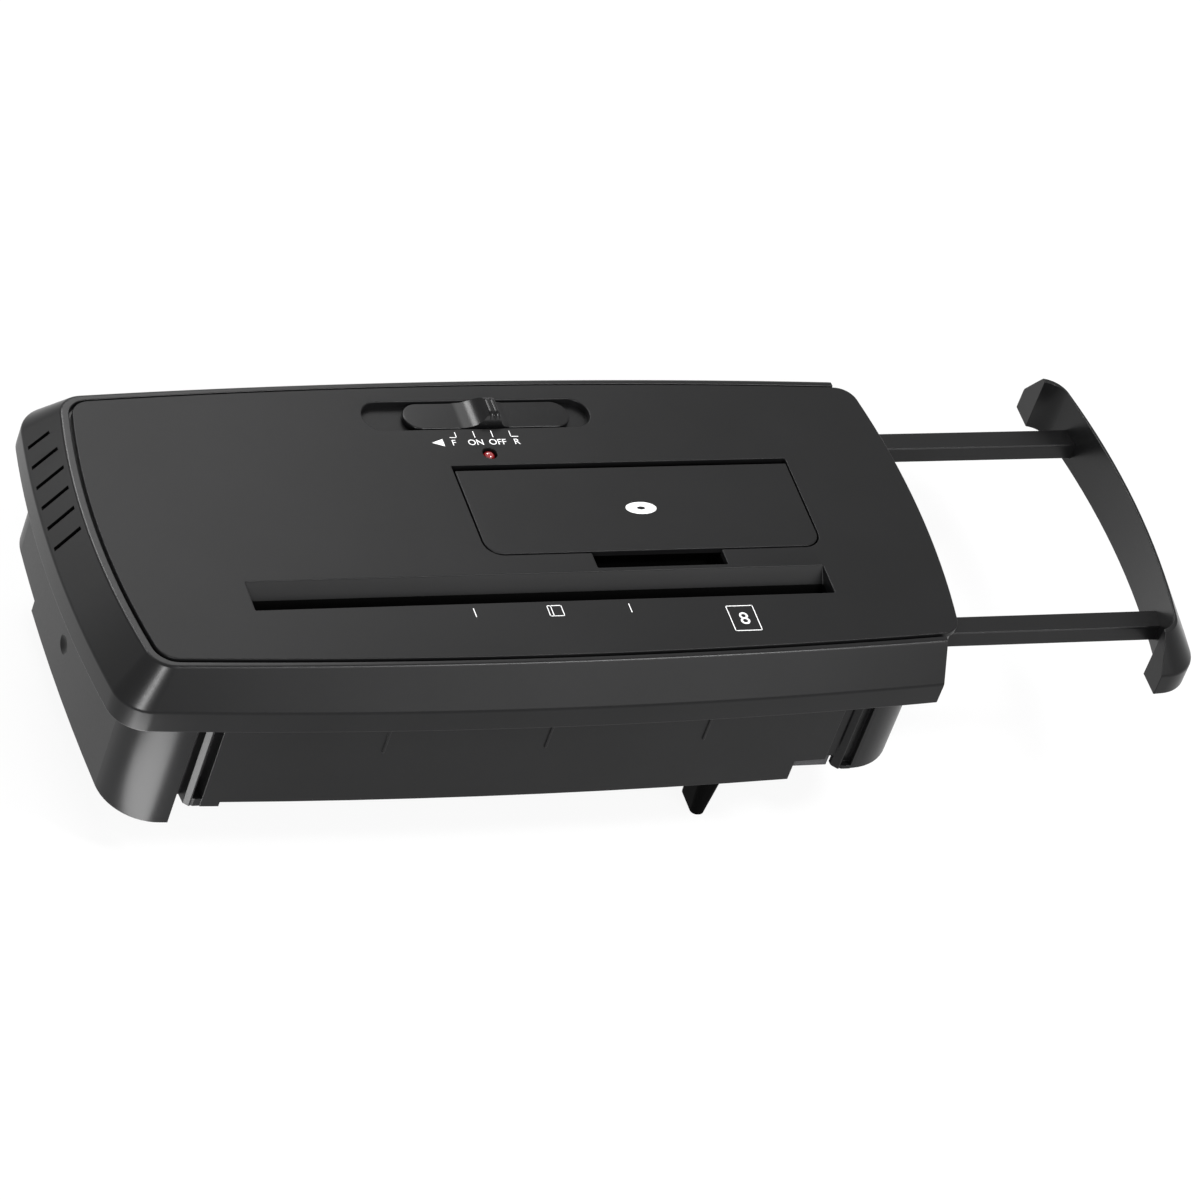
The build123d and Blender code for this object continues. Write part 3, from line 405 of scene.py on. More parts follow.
# the outside of the cover from its lower edge to the flat rim, which the arm's handle shares
def coverSide(rimRound):
    low, crease, rim = coverForm["bottom"], coverForm["creaseLevel"], coverForm["rimLevel"]
    run = coverForm["crease"][4] - coverForm["rim"][4]
    lean = math.atan2(run, rim - crease)
    rings = [coverRing(0, low + drop, inset) for inset, drop in quarter(coverForm["bottomRound"])][::-1]
    bend, steps = coverForm["creaseRound"], coverForm["creaseSteps"]
    start = crease - bend * math.tan(lean / 2)
    for i in range(steps + 1):
        turn = lean * i / steps
        rings.append(coverRing(bend * (1 - math.cos(turn)) / run, start + bend * math.sin(turn)))
    shoulder, steps = rimRound * math.tan((math.pi / 2 - lean) / 2), coverForm["rimSteps"]
    for i in range(steps + 1):
        turn = lean + (math.pi / 2 - lean) * i / steps
        level = rim - rimRound + rimRound * math.sin(turn)
        rings.append(coverRing(1, level, shoulder - rimRound * math.cos(turn)))
    return rings


# slits in the slope; their walls take the inner black finish as painted shade
ventSizes = {
    "Count": 6, "Pitch": 10 * mm, "Width": 1.7 * mm, "Height": 10.7 * mm, "Depth": 10.5 * mm,
    "First": at(-165.75, 3.0, 82.25),
    "Finish": finishes["cover_plastic"], "Inside": finishes["inner_plastic"],
}


def makeVents():
    tree = bpy.data.node_groups.new("slopeVents", "GeometryNodeTree")
    sizes = [("Count", "Int"), ("Pitch", "Float"), ("Width", "Float"), ("Height", "Float"),
             ("Depth", "Float"), ("First", "Vector"), ("Finish", "Material"), ("Inside", "Material")]
    tree.interface.new_socket("Geometry", in_out="INPUT", socket_type="NodeSocketGeometry")
    for label, kind in sizes:
        tree.interface.new_socket(label, in_out="INPUT", socket_type="NodeSocket" + kind)
    tree.interface.new_socket("Geometry", in_out="OUTPUT", socket_type="NodeSocketGeometry")
    start, end = tree.nodes.new("NodeGroupInput"), tree.nodes.new("NodeGroupOutput")
    given = start.outputs
    join = tree.links.new
    step = tree.nodes.new("ShaderNodeCombineXYZ")
    join(given["Pitch"], step.inputs["Y"])
    row = tree.nodes.new("GeometryNodeMeshLine")
    join(given["Count"], row.inputs["Count"])
    join(given["First"], row.inputs["Start Location"])
    join(step.outputs["Vector"], row.inputs["Offset"])
    size = tree.nodes.new("ShaderNodeCombineXYZ")
    for label, axis in (("Depth", "X"), ("Width", "Y"), ("Height", "Z")):
        join(given[label], size.inputs[axis])
    slot = tree.nodes.new("GeometryNodeMeshCube")
    join(size.outputs["Vector"], slot.inputs["Size"])
    slots = tree.nodes.new("GeometryNodeInstanceOnPoints")
    join(row.outputs["Mesh"], slots.inputs["Points"])
    join(slot.outputs["Mesh"], slots.inputs["Instance"])
    real = tree.nodes.new("GeometryNodeRealizeInstances")
    join(slots.outputs["Instances"], real.inputs["Geometry"])
    cut = tree.nodes.new("GeometryNodeMeshBoolean")
    cut.operation = "DIFFERENCE"
    cut.solver = "EXACT"
    # the vent walls are painted shade: they get the inner black instead of the cover's own finish
    shadeCoat = tree.nodes.new("GeometryNodeSetMaterial")
    join(real.outputs["Geometry"], shadeCoat.inputs["Geometry"])
    join(given["Inside"], shadeCoat.inputs["Material"])
    join(given["Geometry"], cut.inputs["Mesh 1"])
    join(shadeCoat.outputs["Geometry"], cut.inputs["Mesh 2"])
    shadeCoated = tree.nodes.new("GeometryNodeMaterialSelection")
    join(given["Inside"], shadeCoated.inputs["Material"])
    outside = tree.nodes.new("FunctionNodeBooleanMath")
    outside.operation = "NOT"
    join(shadeCoated.outputs["Selection"], outside.inputs[0])
    coat = tree.nodes.new("GeometryNodeSetMaterial")  # all but the walls of the vents
    join(cut.outputs["Mesh"], coat.inputs["Geometry"])
    join(outside.outputs["Boolean"], coat.inputs["Selection"])
    join(given["Finish"], coat.inputs["Material"])
    join(coat.outputs["Geometry"], end.inputs["Geometry"])
    return tree


def grown(piece, tree, sizes):
    maker = piece.modifiers.new(tree.name, "NODES")
    maker.node_group = tree
    for item in tree.interface.items_tree:
        if item.in_out == "INPUT" and item.name in sizes:
            maker[item.identifier] = sizes[item.name]
    return baked(piece)


# screw posts under the cover, the same on the front and the back
bossForm = {
    "places": [(-160.0, 57.0, 79.5), (-20.0, 67.5, 86.0), (100.0, 66.3, 86.0)],
    "radius": 3.0, "foot": 68.6, "pilot": 1.4, "pilotDepth": 6.0,
}


def addBosses(shell):
    boss = bossForm
    posts, pilots = bmesh.new(), bmesh.new()
    foot = boss["foot"]
    for x, y, top in boss["places"]:
        for side in (-1, 1):
            addPost(posts, x, side * y, boss["radius"], foot, top)
            addPost(pilots, x, side * y, boss["pilot"], foot - cutPast, foot + boss["pilotDepth"])
    carved(shell, posts, "UNION")
    return carved(shell, pilots, "DIFFERENCE")


def cutEnds(form, x, keepLeft):
    everything = form.verts[:] + form.edges[:] + form.faces[:]
    side = 1 if keepLeft else -1
    bmesh.ops.bisect_plane(form, geom=everything, plane_co=at(x, 0, 0), plane_no=(side, 0, 0),
                           clear_outer=True)
    bmesh.ops.holes_fill(form, edges=[edge for edge in form.edges if edge.is_boundary], sides=0)


def makeCoverShell():
    form = bmesh.new()
    under, groove = panelForm["under"], panelForm["groove"]
    rim, wall = coverForm["rimLevel"], coverForm["wall"]
    rings = coverSide(coverForm["rimRound"])
    rings += [panelRing(groove + inset, rim - drop) for drop, inset in quarter(panelForm["grooveLip"])]
    rings += [panelRing(groove, under), panelRing(-panelForm["ledge"], under)]
    rings.append(panelRing(-panelForm["ledge"], panelForm["ledgeUnder"]))
    share = (panelForm["ledgeUnder"] - coverForm["creaseLevel"]) / (rim - coverForm["creaseLevel"])
    rings.append(coverRing(share, panelForm["ledgeUnder"], wall))
    rings += [coverRing(0, coverForm["creaseLevel"], wall), coverRing(0, coverForm["bottom"], wall)]
    loft(form, rings, closed=True)
    cutEnds(form, coverForm["end"], True)
    shell = pieceFrom(form, "coverShell", finishes["cover_plastic"])
    grown(shell, makeVents(), ventSizes)
    addBosses(shell)
    return standsFor(smoothed(shell), "upper_cover")


makeCoverShell()


# top panel: inset plate with the paper mouth, flap opening, switch recess and lamp hole

panelHoles = {
    "mouthHalf": 111.0, "mouthFront": -41.3, "mouthBack": -27.7, "mouthLip": 0.45, "mouthCorner": 0.4,
    "slope": (-32.5, 85.2), "slit": (-36.7, 77.6), "throatSlack": 0.1,
    "funnelWall": 2.5, "funnelBack": -26.2, "funnelCorner": 2.9,
    "flap": (-16.9, 114.7, -18.3, 26.8), "flapCorner": 7.0, "flapLip": 0.3,
    "flapBackCorner": 0.5, "notch": (23.4, 74.2, -25.7), "notchTurn": 0.6,
    "recess": (-43.4, 45.0, 7.2), "recessY": 52.5, "recessFloor": 87.2, "recessLip": 0.5, "trayWall": 2.2,
    "stemSlot": (-13.7, 16.9, 2.4), "stemCorner": 0.4, "trayUnder": 85.0,
    "lampY": 32.7, "lampHole": 2.75, "lampLip": 0.3, "collar": 3.7, "collarUnder": 84.4,
}


def roundedCorners(corners, radii, steps=6):
    points = []
    count = len(corners)
    for i, corner in enumerate(corners):
        here, before, after = Vector(corner), Vector(corners[i - 1]), Vector(corners[(i + 1) % count])
        back, on = (before - here).normalized(), (after - here).normalized()
        radius = radii[i]
        inner = 1 if back.x * on.y - back.y * on.x < 0 else -1
        middle = here + (back + on) * radius
        start = here + back * radius - middle
        for step in range(steps + 1):
            angle = inner * math.radians(90) * step / steps
            spot = middle + Matrix.Rotation(angle, 2) @ start
            points.append((spot.x, spot.y))
    return points


def box2d(left, right, front, back, radius, grow=0.0):
    left, right, front, back = left - grow, right + grow, front - grow, back + grow
    corners = [(right, front), (right, back), (left, back), (left, front)]
    return roundedCorners(corners, [radius] * 4)


def stadium(left, right, half, y, grow=0.0, steps=16):
    left, right, radius = left + half, right - half, half + grow
    points = arc((right, y), radius, -math.pi / 2, 0, steps) + arc((right, y), radius, 0, math.pi / 2, steps)
    points += arc((left, y), radius, math.pi / 2, math.pi, steps)
    return points + arc((left, y), radius, -math.pi, -math.pi / 2, steps)


def flapHole(grow=0.0):  # the opening for the flap with its finger notch in front
    holes = panelHoles
    left, right, front, back = holes["flap"]
    notchLeft, notchRight, notchFront = holes["notch"]
    left, front, notchLeft = left - grow, front - grow, notchLeft - grow
    right, back, notchRight = right + grow, back + grow, notchRight + grow
    notchFront -= grow
    corners = [
        (notchLeft, front), (notchLeft, notchFront), (notchRight, notchFront), (notchRight, front),
        (right, front), (right, back), (left, back), (left, front),
    ]
    wide, small = holes["flapCorner"] + grow, holes["flapBackCorner"] + grow
    turn = holes["notchTurn"] - grow
    return roundedCorners(corners, [turn, small, small, turn, wide, small, small, wide])


def makePanelPlate():
    holes = panelHoles
    form = bmesh.new()
    top, under = panelForm["top"], panelForm["under"]
    edge = [panelRing(-inset, top - drop) for drop, inset in quarter(panelForm["edgeRound"])]
    edge += [panelRing(-inset, under + drop) for drop, inset in quarter(panelForm["underRound"])][::-1]
    outside = loft(form, edge)

    def lipRings(outline, lip):
        return [ringAt(outline(inset), top - drop) for drop, inset in quarter(lip)]

    half, front, wall = holes["mouthHalf"], holes["mouthFront"], holes["funnelWall"]

    def mouth(grow, back=holes["mouthBack"]):
        return box2d(-half, half, front, back, holes["mouthCorner"] + grow, grow)

    funnel = box2d(-half, half, front, holes["funnelBack"] - wall, holes["funnelCorner"], wall)
    rings = lipRings(mouth, holes["mouthLip"])
    rings += [ringAt(mouth(0, back), level) for back, level in (holes["slope"], holes["slit"])]
    rings += [ringAt(funnel, level) for level in (holes["slit"][1], under)]
    mouthRows = loft(form, rings)

    flapRows = loft(form, lipRings(flapHole, holes["flapLip"]) + [ringAt(flapHole(), under)])

    left, right, recessHalf = holes["recess"]
    y = holes["recessY"]

    def recess(grow):
        return stadium(left, right, recessHalf, y, grow)

    recessRows = loft(form, lipRings(recess, holes["recessLip"]) + [ringAt(recess(0), holes["recessFloor"])])
    stemLeft, stemRight, stemHalf = holes["stemSlot"]
    slot = box2d(stemLeft, stemRight, y - stemHalf, y + stemHalf, holes["stemCorner"])
    slotRows = loft(form, [ringAt(slot, holes["recessFloor"]), ringAt(slot, holes["trayUnder"])])
    tray = recess(holes["trayWall"])
    trayRows = loft(form, [ringAt(tray, holes["trayUnder"]), ringAt(tray, under)])
    fillLevel(form, recessRows[-1], slotRows[0])
    fillLevel(form, slotRows[-1], trayRows[0])

    def lamp(grow):
        return circle2d(0, holes["lampY"], holes["lampHole"] + grow)

    collar = circle2d(0, holes["lampY"], holes["collar"])
    rings = lipRings(lamp, holes["lampLip"]) + [ringAt(lamp(0), holes["collarUnder"])]
    lampRows = loft(form, rings + [ringAt(collar, holes["collarUnder"]), ringAt(collar, under)])

    fillLevel(form, outside[0], mouthRows[0], flapRows[0], recessRows[0], lampRows[0])
    fillLevel(form, outside[-1], mouthRows[-1], flapRows[-1], trayRows[-1], lampRows[-1])
    plate = pieceFrom(form, "panelPlate", finishes["panel_plastic"])
    # the throat below the sloped lip gets the inner black finish as painted shade, though it is the panel's
    # own plastic
    plate.data.materials.append(finishes["inner_plastic"])
    for face in plate.data.polygons:  # the throat below the sloped lip is dark
        inShadedThroat = front - holes["throatSlack"] < face.center.y / mm < holes["slope"][0]
        face.material_index = int(inShadedThroat and face.center.z / mm < holes["slope"][1])
    return standsFor(smoothed(plate), "top_panel")


makePanelPlate()


# flap over the disc slit, with its two hinge knuckles

flapForm = {
    "box": (-16.3, 114.1, -17.7, 24.2), "frontCorner": 6.4, "backCorner": 0.6, "edgeRound": 0.35,
    "hinge": (21.3, 85.2), "knuckles": [(-11.2, -5.0), (102.8, 109.0)], "knuckleRadius": 2.0, "bore": 1.25,
    "knuckleSteps": 24, "knuckleSunk": 0.1, "knuckleSquare": 1.42,
}


def makeDiscFlap():
    sizes = flapForm
    form = bmesh.new()
    left, right, low, high = sizes["box"]
    top, under = panelForm["top"], panelForm["under"]

    def outline(inset):
        corners = [(right - inset, low + inset), (right - inset, high - inset),
                   (left + inset, high - inset), (left + inset, low + inset)]
        front, back = sizes["frontCorner"] - inset, sizes["backCorner"] - inset
        return roundedCorners(corners, [front, back, back, front])

    rings = [ringAt(outline(inset), top - drop) for drop, inset in quarter(sizes["edgeRound"])]
    rows = loft(form, rings + [ringAt(outline(0), under)])
    fillLevel(form, rows[0])
    fillLevel(form, rows[-1])
    y, z = sizes["hinge"]
    steps, radius = sizes["knuckleSteps"], sizes["knuckleRadius"]
    for start, end in sizes["knuckles"]:
        inner, outer = [], []
        for i in range(steps):
            turn = 2 * math.pi * i / steps
            across, up = math.cos(turn), math.sin(turn)
            inner.append((y + sizes["bore"] * across, z + sizes["bore"] * up))
            side, lift = radius * across, radius * up
            if 0 < i < steps / 2:  # the upper half is a block that runs into the plate
                side = math.copysign(min(abs(side) * sizes["knuckleSquare"], radius), side)
                lift = under + sizes["knuckleSunk"] - z
            outer.append((y + side, z + lift))
        rings = [[at(x, *spot) for spot in line] for x, line in
                 ((start, inner), (start, outer), (end, outer), (end, inner))]
        loft(form, rings, closed=True)
    flap = pieceFrom(welded(form), "discFlap", finishes[slotOf["cd_lid"]])
    return standsFor(smoothed(flap), "cd_lid")


makeDiscFlap()


# slide switch: round-ended plate with a swept finger hump and the stem through the panel

sliderForm = {
    "plate": (-27.6, 37.2, 6.5), "y": 52.5, "low": 87.4, "high": 89.6, "edgeRound": 0.45,
    "rise": 5.0, "ramp": (-7.0, 3.5), "rampHollow": 2.4, "rampSteps": 14, "faceSteps": 9,
    "crownHalf": 2.6, "crownEnd": 3.8, "endTurns": (88, 82, 75, 67, 59, 50, 41, 32, 23, 15, 7, 0),
    "ribs": [(3.7, 5.5), (5.8, 7.6)], "ribRound": 0.35, "ribSpots": (-1, -0.8, -0.4, 0, 0.4, 0.8, 1),
    "face": [
        (12.0, 0.0), (10.9, 0.08), (9.9, 0.35), (9.2, 0.85),
        (8.7, 1.5), (8.4, 2.3), (8.1, 3.2), (7.6, 5.0),
    ],
    "stem": (0.8, 8.8), "stemHalf": 2.0, "stemCorner": 0.3, "stemLow": 80.6, "stemSunk": 0.5, "sunk": 0.6,
}


def faceReach(lift):  # how far right the hump's steep face stands at a height above the plate
    face = sliderForm["face"]
    for (x, low), (nextX, high) in zip(face, face[1:]):
        if lift <= high:
            return x + (nextX - x) * (lift - low) / (high - low)
    return face[-1][0]


def humpSection(y, crown):  # hollow ramp, ribbed crown and steep face, cut off at the crown's height here
    slide = sliderForm
    start, end = slide["ramp"]
    share = crown / slide["rise"]
    spots = []
    steps = slide["rampSteps"]
    for i in range(steps + 1):
        part = share ** (1 / slide["rampHollow"]) * i / steps
        spots.append((start + (end - start) * part, slide["rise"] * part ** slide["rampHollow"]))
    fall = slide["ribRound"] * share ** 2
    for left, right in slide["ribs"]:
        for spot in slide["ribSpots"]:
            spots.append(((left + right) / 2 + (right - left) / 2 * spot, crown - fall * spot ** 4))
    steps = slide["faceSteps"]
    for i in range(steps + 1):
        lift = (crown - fall) * (1 - i / steps)
        spots.append((faceReach(lift), lift))
    spots += [(spots[-1][0], -slide["sunk"]), (spots[0][0], -slide["sunk"])]
    return [at(x, y, slide["high"] + lift) for x, lift in spots]


def makeModeSlider():
    slide = sliderForm
    form = bmesh.new()
    left, right, half = slide["plate"]
    y, rise, reach = slide["y"], slide["rise"], slide["stemHalf"]
    rounding = quarter(slide["edgeRound"])
    edge = [ringAt(stadium(left, right, half, y, -inset), slide["high"] - drop) for drop, inset in rounding]
    edge.append(ringAt(stadium(left, right, half, y), slide["low"]))
    rows = loft(form, edge)
    fillLevel(form, rows[0])
    fillLevel(form, rows[-1])
    turns = [math.radians(turn) for turn in slide["endTurns"]]
    flat, curve = slide["crownHalf"], slide["crownEnd"]
    ends = [(flat + curve * math.sin(turn), rise * math.cos(turn)) for turn in turns]
    sections = [humpSection(y - away, crown) for away, crown in ends]
    sections += [humpSection(y + away, crown) for away, crown in ends[::-1]]
    humpRows = loft(form, sections)
    for row in (humpRows[0], humpRows[-1]):
        form.faces.new(row)
    stemLeft, stemRight = slide["stem"]
    stem = box2d(stemLeft, stemRight, y - reach, y + reach, slide["stemCorner"])
    stemRows = loft(form, [ringAt(stem, slide["stemLow"]), ringAt(stem, slide["low"] + slide["stemSunk"])])
    fillLevel(form, stemRows[0])
    fillLevel(form, stemRows[-1])
    slider = pieceFrom(form, "modeSlider", finishes[slotOf["mode_slider"]])
    return standsFor(smoothed(slider, sharp=40), "mode_slider")


makeModeSlider()


# red lamp beside the switch

lampForm = {
    "radius": 2.4, "domeLevel": 87.5, "flange": 3.0, "flangeTop": 84.4, "foot": 82.4,
    "domeTurns": (86, 78, 69, 60, 50, 40, 30, 20, 10, 0),
}


def makeLampLens():
    lamp = lampForm
    form = bmesh.new()
    turns = [math.radians(turn) for turn in lamp["domeTurns"]]
    radius, dome, flange, ledge = lamp["radius"], lamp["domeLevel"], lamp["flange"], lamp["flangeTop"]
    steps = [(radius * math.cos(turn), dome + radius * math.sin(turn)) for turn in turns]
    steps += [(radius, ledge), (flange, ledge), (flange, lamp["foot"])]
    rows = loft(form, [ringAt(circle2d(0, panelHoles["lampY"], radius), level) for radius, level in steps])
    fillLevel(form, rows[0])
    fillLevel(form, rows[-1])
    return standsFor(smoothed(pieceFrom(form, "lampLens", finishes["lamp_red"])), "led_lens")


makeLampLens()


# the arm's C-shaped handle, drawn from the cover's outside

handleForm = {
    "hollow": (100.0, 95.0, 159.8, 153.4, 64.6, 64.5, 9.0), "end": 147.8,
    "rimRound": 0.45, "innerRound": 0.3, "endRound": 0.6,
    "socket": (200.0, 249.0, 42.9, 51.5, 69.8, 77.0), "screw": (246.8, 47.2, 1.5),
}


def cutSeats(handle):  # sockets for the two rails, and the holes for the screws that hold them
    left, right, inner, outer, bottom, top = handleForm["socket"]
    x, y, radius = handleForm["screw"]
    size = Matrix.Diagonal(((right - left) * mm, (outer - inner) * mm, (top - bottom) * mm, 1))
    sockets, holes = bmesh.new(), bmesh.new()
    for side in (-1, 1):
        middle = at((left + right) / 2, side * (inner + outer) / 2, (bottom + top) / 2)
        bmesh.ops.create_cube(sockets, size=1, matrix=Matrix.Translation(middle) @ size)
        addPost(holes, x, side * y, radius, coverForm["bottom"] - cutPast, bottom + cutPast)
    carved(handle, sockets, "DIFFERENCE")
    return carved(handle, holes, "DIFFERENCE")


def makeArmHandle():
    form = bmesh.new()
    low, rim = coverForm["bottom"], coverForm["rimLevel"]
    rings = coverSide(handleForm["rimRound"])

    def hollow(grow, level):
        return ringAt(bowedOutline(handleForm["hollow"], grow), level)

    lip = quarter(handleForm["innerRound"])
    rings += [hollow(inset, rim - drop) for drop, inset in lip]
    rings += [hollow(inset, low + drop) for drop, inset in lip[::-1]]
    loft(form, rings, closed=True)
    cutEnds(form, handleForm["end"], False)
    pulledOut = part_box("arm_handle")[0][0] - at(handleForm["end"], 0, 0).x
    bmesh.ops.translate(form, verts=form.verts, vec=(pulledOut, 0, 0))
    plane = at(handleForm["end"], 0, 0).x + pulledOut
    rims = [edge for edge in form.edges if all(abs(v.co.x - plane) < touching for v in edge.verts)]
    bmesh.ops.bevel(form, geom=rims, offset=handleForm["endRound"] * mm, offset_type="OFFSET", segments=3,
                    profile=0.5, affect="EDGES", clamp_overlap=True)
    handle = pieceFrom(form, "armHandle", finishes[slotOf["arm_handle"]])
    cutSeats(handle)
    return standsFor(smoothed(handle), "arm_handle")


makeArmHandle()


# screws with a crowned head and a cross recess, one set for each group in the frame

screwSides = 28  # flats round a head or a shank


def makeScrewTree():
    tree = bpy.data.node_groups.new("crossScrews", "GeometryNodeTree")
    sizes = ["Head Radius", "Crown Radius", "Head Height", "Shank Radius",
             "Cross Length", "Cross Width", "Cross Depth"]
    tree.interface.new_socket("Geometry", in_out="INPUT", socket_type="NodeSocketGeometry")
    for label in sizes:
        tree.interface.new_socket(label, in_out="INPUT", socket_type="NodeSocketFloat")
    tree.interface.new_socket("Finish", in_out="INPUT", socket_type="NodeSocketMaterial")
    tree.interface.new_socket("Geometry", in_out="OUTPUT", socket_type="NodeSocketGeometry")
    start, end = tree.nodes.new("NodeGroupInput"), tree.nodes.new("NodeGroupOutput")
    given = start.outputs
    join = tree.links.new

    def cone(low, high, tall):
        node = tree.nodes.new("GeometryNodeMeshCone")
        node.inputs["Vertices"].default_value = screwSides
        join(given[low], node.inputs["Radius Bottom"])
        join(given[high], node.inputs["Radius Top"])
        node.inputs["Depth"].default_value = 1
        if tall:
            join(given[tall], node.inputs["Depth"])
        return node.outputs["Mesh"]

    drop = tree.nodes.new("ShaderNodeMath")
    drop.operation = "MULTIPLY"
    drop.inputs[1].default_value = -1
    join(given["Head Height"], drop.inputs[0])
    under = tree.nodes.new("ShaderNodeCombineXYZ")
    join(drop.outputs["Value"], under.inputs["Z"])

    def lowered(mesh):
        node = tree.nodes.new("GeometryNodeTransform")
        join(mesh, node.inputs["Geometry"])
        join(under.outputs["Vector"], node.inputs["Translation"])
        return node.outputs["Geometry"]

    head = lowered(cone("Crown Radius", "Head Radius", "Head Height"))
    cut = tree.nodes.new("GeometryNodeMeshBoolean")
    cut.operation = "DIFFERENCE"
    cut.solver = "EXACT"
    join(head, cut.inputs["Mesh 1"])
    for first, second in (("X", "Y"), ("Y", "X")):
        size = tree.nodes.new("ShaderNodeCombineXYZ")
        join(given["Cross Length"], size.inputs[first])
        join(given["Cross Width"], size.inputs[second])
        join(given["Cross Depth"], size.inputs["Z"])
        bar = tree.nodes.new("GeometryNodeMeshCube")
        join(size.outputs["Vector"], bar.inputs["Size"])
        join(lowered(bar.outputs["Mesh"]), cut.inputs["Mesh 2"])
    reach = tree.nodes.new("GeometryNodeInputNamedAttribute")  # each place has its own shank length
    reach.data_type = "FLOAT"
    reach.inputs["Name"].default_value = "shankLength"
    stretch = tree.nodes.new("ShaderNodeCombineXYZ")
    stretch.inputs["X"].default_value = 1
    stretch.inputs["Y"].default_value = 1
    join(reach.outputs["Attribute"], stretch.inputs["Z"])
    whole = tree.nodes.new("GeometryNodeJoinGeometry")
    for mesh, scale in ((cut.outputs["Mesh"], None), (cone("Shank Radius", "Shank Radius", None), stretch)):
        places = tree.nodes.new("GeometryNodeInstanceOnPoints")
        join(given["Geometry"], places.inputs["Points"])
        join(mesh, places.inputs["Instance"])
        if scale:
            join(scale.outputs["Vector"], places.inputs["Scale"])
        join(places.outputs["Instances"], whole.inputs["Geometry"])
    real = tree.nodes.new("GeometryNodeRealizeInstances")
    join(whole.outputs["Geometry"], real.inputs["Geometry"])
    coat = tree.nodes.new("GeometryNodeSetMaterial")
    join(real.outputs["Geometry"], coat.inputs["Geometry"])
    join(given["Finish"], coat.inputs["Material"])
    join(coat.outputs["Geometry"], end.inputs["Geometry"])
    return tree


screwSets = {
    "cover_screws": {"name": "coverScrews", "head": 2.8, "high": 1.4, "shank": 1.4, "seat": 67.6,
                     "places": [(-160.0, 57.0, 6.8), (-20.0, 67.5, 6.8), (100.0, 66.3, 6.8)]},
    "base_screws": {"name": "baseScrews", "head": 2.8, "high": 1.6, "shank": 1.4, "seat": 20.0,
                    "places": [(-147.4, 63.4, 10.2), (134.0, 25.0, 15.3)]},
    "arm_screws": {"name": "armScrews", "head": 1.5, "high": 0.6, "shank": 1.2, "seat": 66.6,
                   "places": [(246.8, 47.2, 7.0)]},
}
screwShares = {"crown": 0.84, "crossLength": 1.1, "crossWidth": 0.26}  # of the head's radius
screwTree = makeScrewTree()


def makeScrews(node, kind):
    mesh = bpy.data.meshes.new(kind["name"])
    rows = [(x, side * y, reach) for x, y, reach in kind["places"] for side in (-1, 1)]
    mesh.from_pydata([at(x, y, kind["seat"]) for x, y, reach in rows], [], [])
    lengths = mesh.attributes.new("shankLength", "FLOAT", "POINT")
    for spot, (x, y, reach) in zip(lengths.data, rows):
        spot.value = reach * mm
    screws = linked(kind["name"], mesh, finishes["screw_steel"])
    head = kind["head"] * mm
    sizes = {
        "Head Radius": head, "Crown Radius": head * screwShares["crown"], "Head Height": kind["high"] * mm,
        "Shank Radius": kind["shank"] * mm,
        "Cross Length": head * screwShares["crossLength"], "Cross Width": head * screwShares["crossWidth"],
        "Cross Depth": kind["high"] * mm,
        "Finish": finishes["screw_steel"],
    }
    grown(screws, screwTree, sizes)
    return standsFor(smoothed(screws, sharp=35), node)


for node, kind in screwSets.items():
    makeScrews(node, kind)


# printed marks: plain position marks at the switch, ticks at the mouth and a plain disc on the flap

printForm = {
    "thick": 0.03, "tick": 0.32,
    "words": [("F", -13.2, 37.0), ("ON", -6.9, 37.0), ("OFF", 1.3, 37.0), ("R", 11.0, 37.0)],
    "capHeight": 2.7,
    "arrow": [(-20.7, 38.5), (-16.2, 36.6), (-16.2, 40.3)],
    "ticks": [
        [(-10.5, 43.5), (-10.5, 40.9), (-13.0, 40.9)],
        [(-3.35, 43.8), (-3.35, 40.8)],
        [(3.7, 43.9), (3.7, 40.9)],
        [(10.7, 43.6), (10.7, 40.9), (13.4, 40.9)],
        [(-30.2, -43.9), (-30.2, -47.8)],
        [(29.3, -43.9), (29.3, -47.8)],
    ],
    "slotMark": (-2.2, 3.2, -48.6, -43.6), "slotMarkLine": 1.4,
    "sheets": ("8", 69.4, -55.4), "sheetsHeight": 5.6, "sheetsBox": (66.1, 76.4, -58.6, -46.5),
    "disc": (49.6, 3.3, 6.0, 1.6), "discFlat": 0.5, "discSteps": 48,
}


def flatMark(form, points, top):
    rows = loft(form, [ringAt(points, level) for level in (top, top + printForm["thick"])])
    for row in rows:
        form.faces.new(row)


def tickLine(form, points, top):
    half = printForm["tick"] / 2
    for first, second in zip(points, points[1:]):
        low = (min(first[0], second[0]) - half, min(first[1], second[1]) - half)
        high = (max(first[0], second[0]) + half, max(first[1], second[1]) + half)
        flatMark(form, [low, (high[0], low[1]), high, (low[0], high[1])], top)


def wordMark(form, text, x, y, top, capHeight):
    line = bpy.data.curves.new("positionWord", "FONT")
    line.body = text
    line.extrude = printForm["thick"] * mm / 2
    holder = bpy.data.objects.new("positionWord", line)
    scene.collection.objects.link(holder)
    bpy.context.view_layer.update()
    graph = bpy.context.evaluated_depsgraph_get()
    mesh = bpy.data.meshes.new_from_object(holder.evaluated_get(graph))
    bpy.data.objects.remove(holder)
    tall = max(corner.co.y for corner in mesh.vertices)
    size = capHeight * mm / tall
    lift = at(x, y, top + printForm["thick"] / 2)
    letters = bmesh.new()
    letters.from_mesh(mesh)
    welded(letters).to_mesh(mesh)  # faces and sides of the letters come apart at their edges
    letters.free()
    mesh.transform(Matrix.Translation(lift) @ Matrix.Diagonal((size, size, 1, 1)))
    form.from_mesh(mesh)
    bpy.data.meshes.remove(mesh)


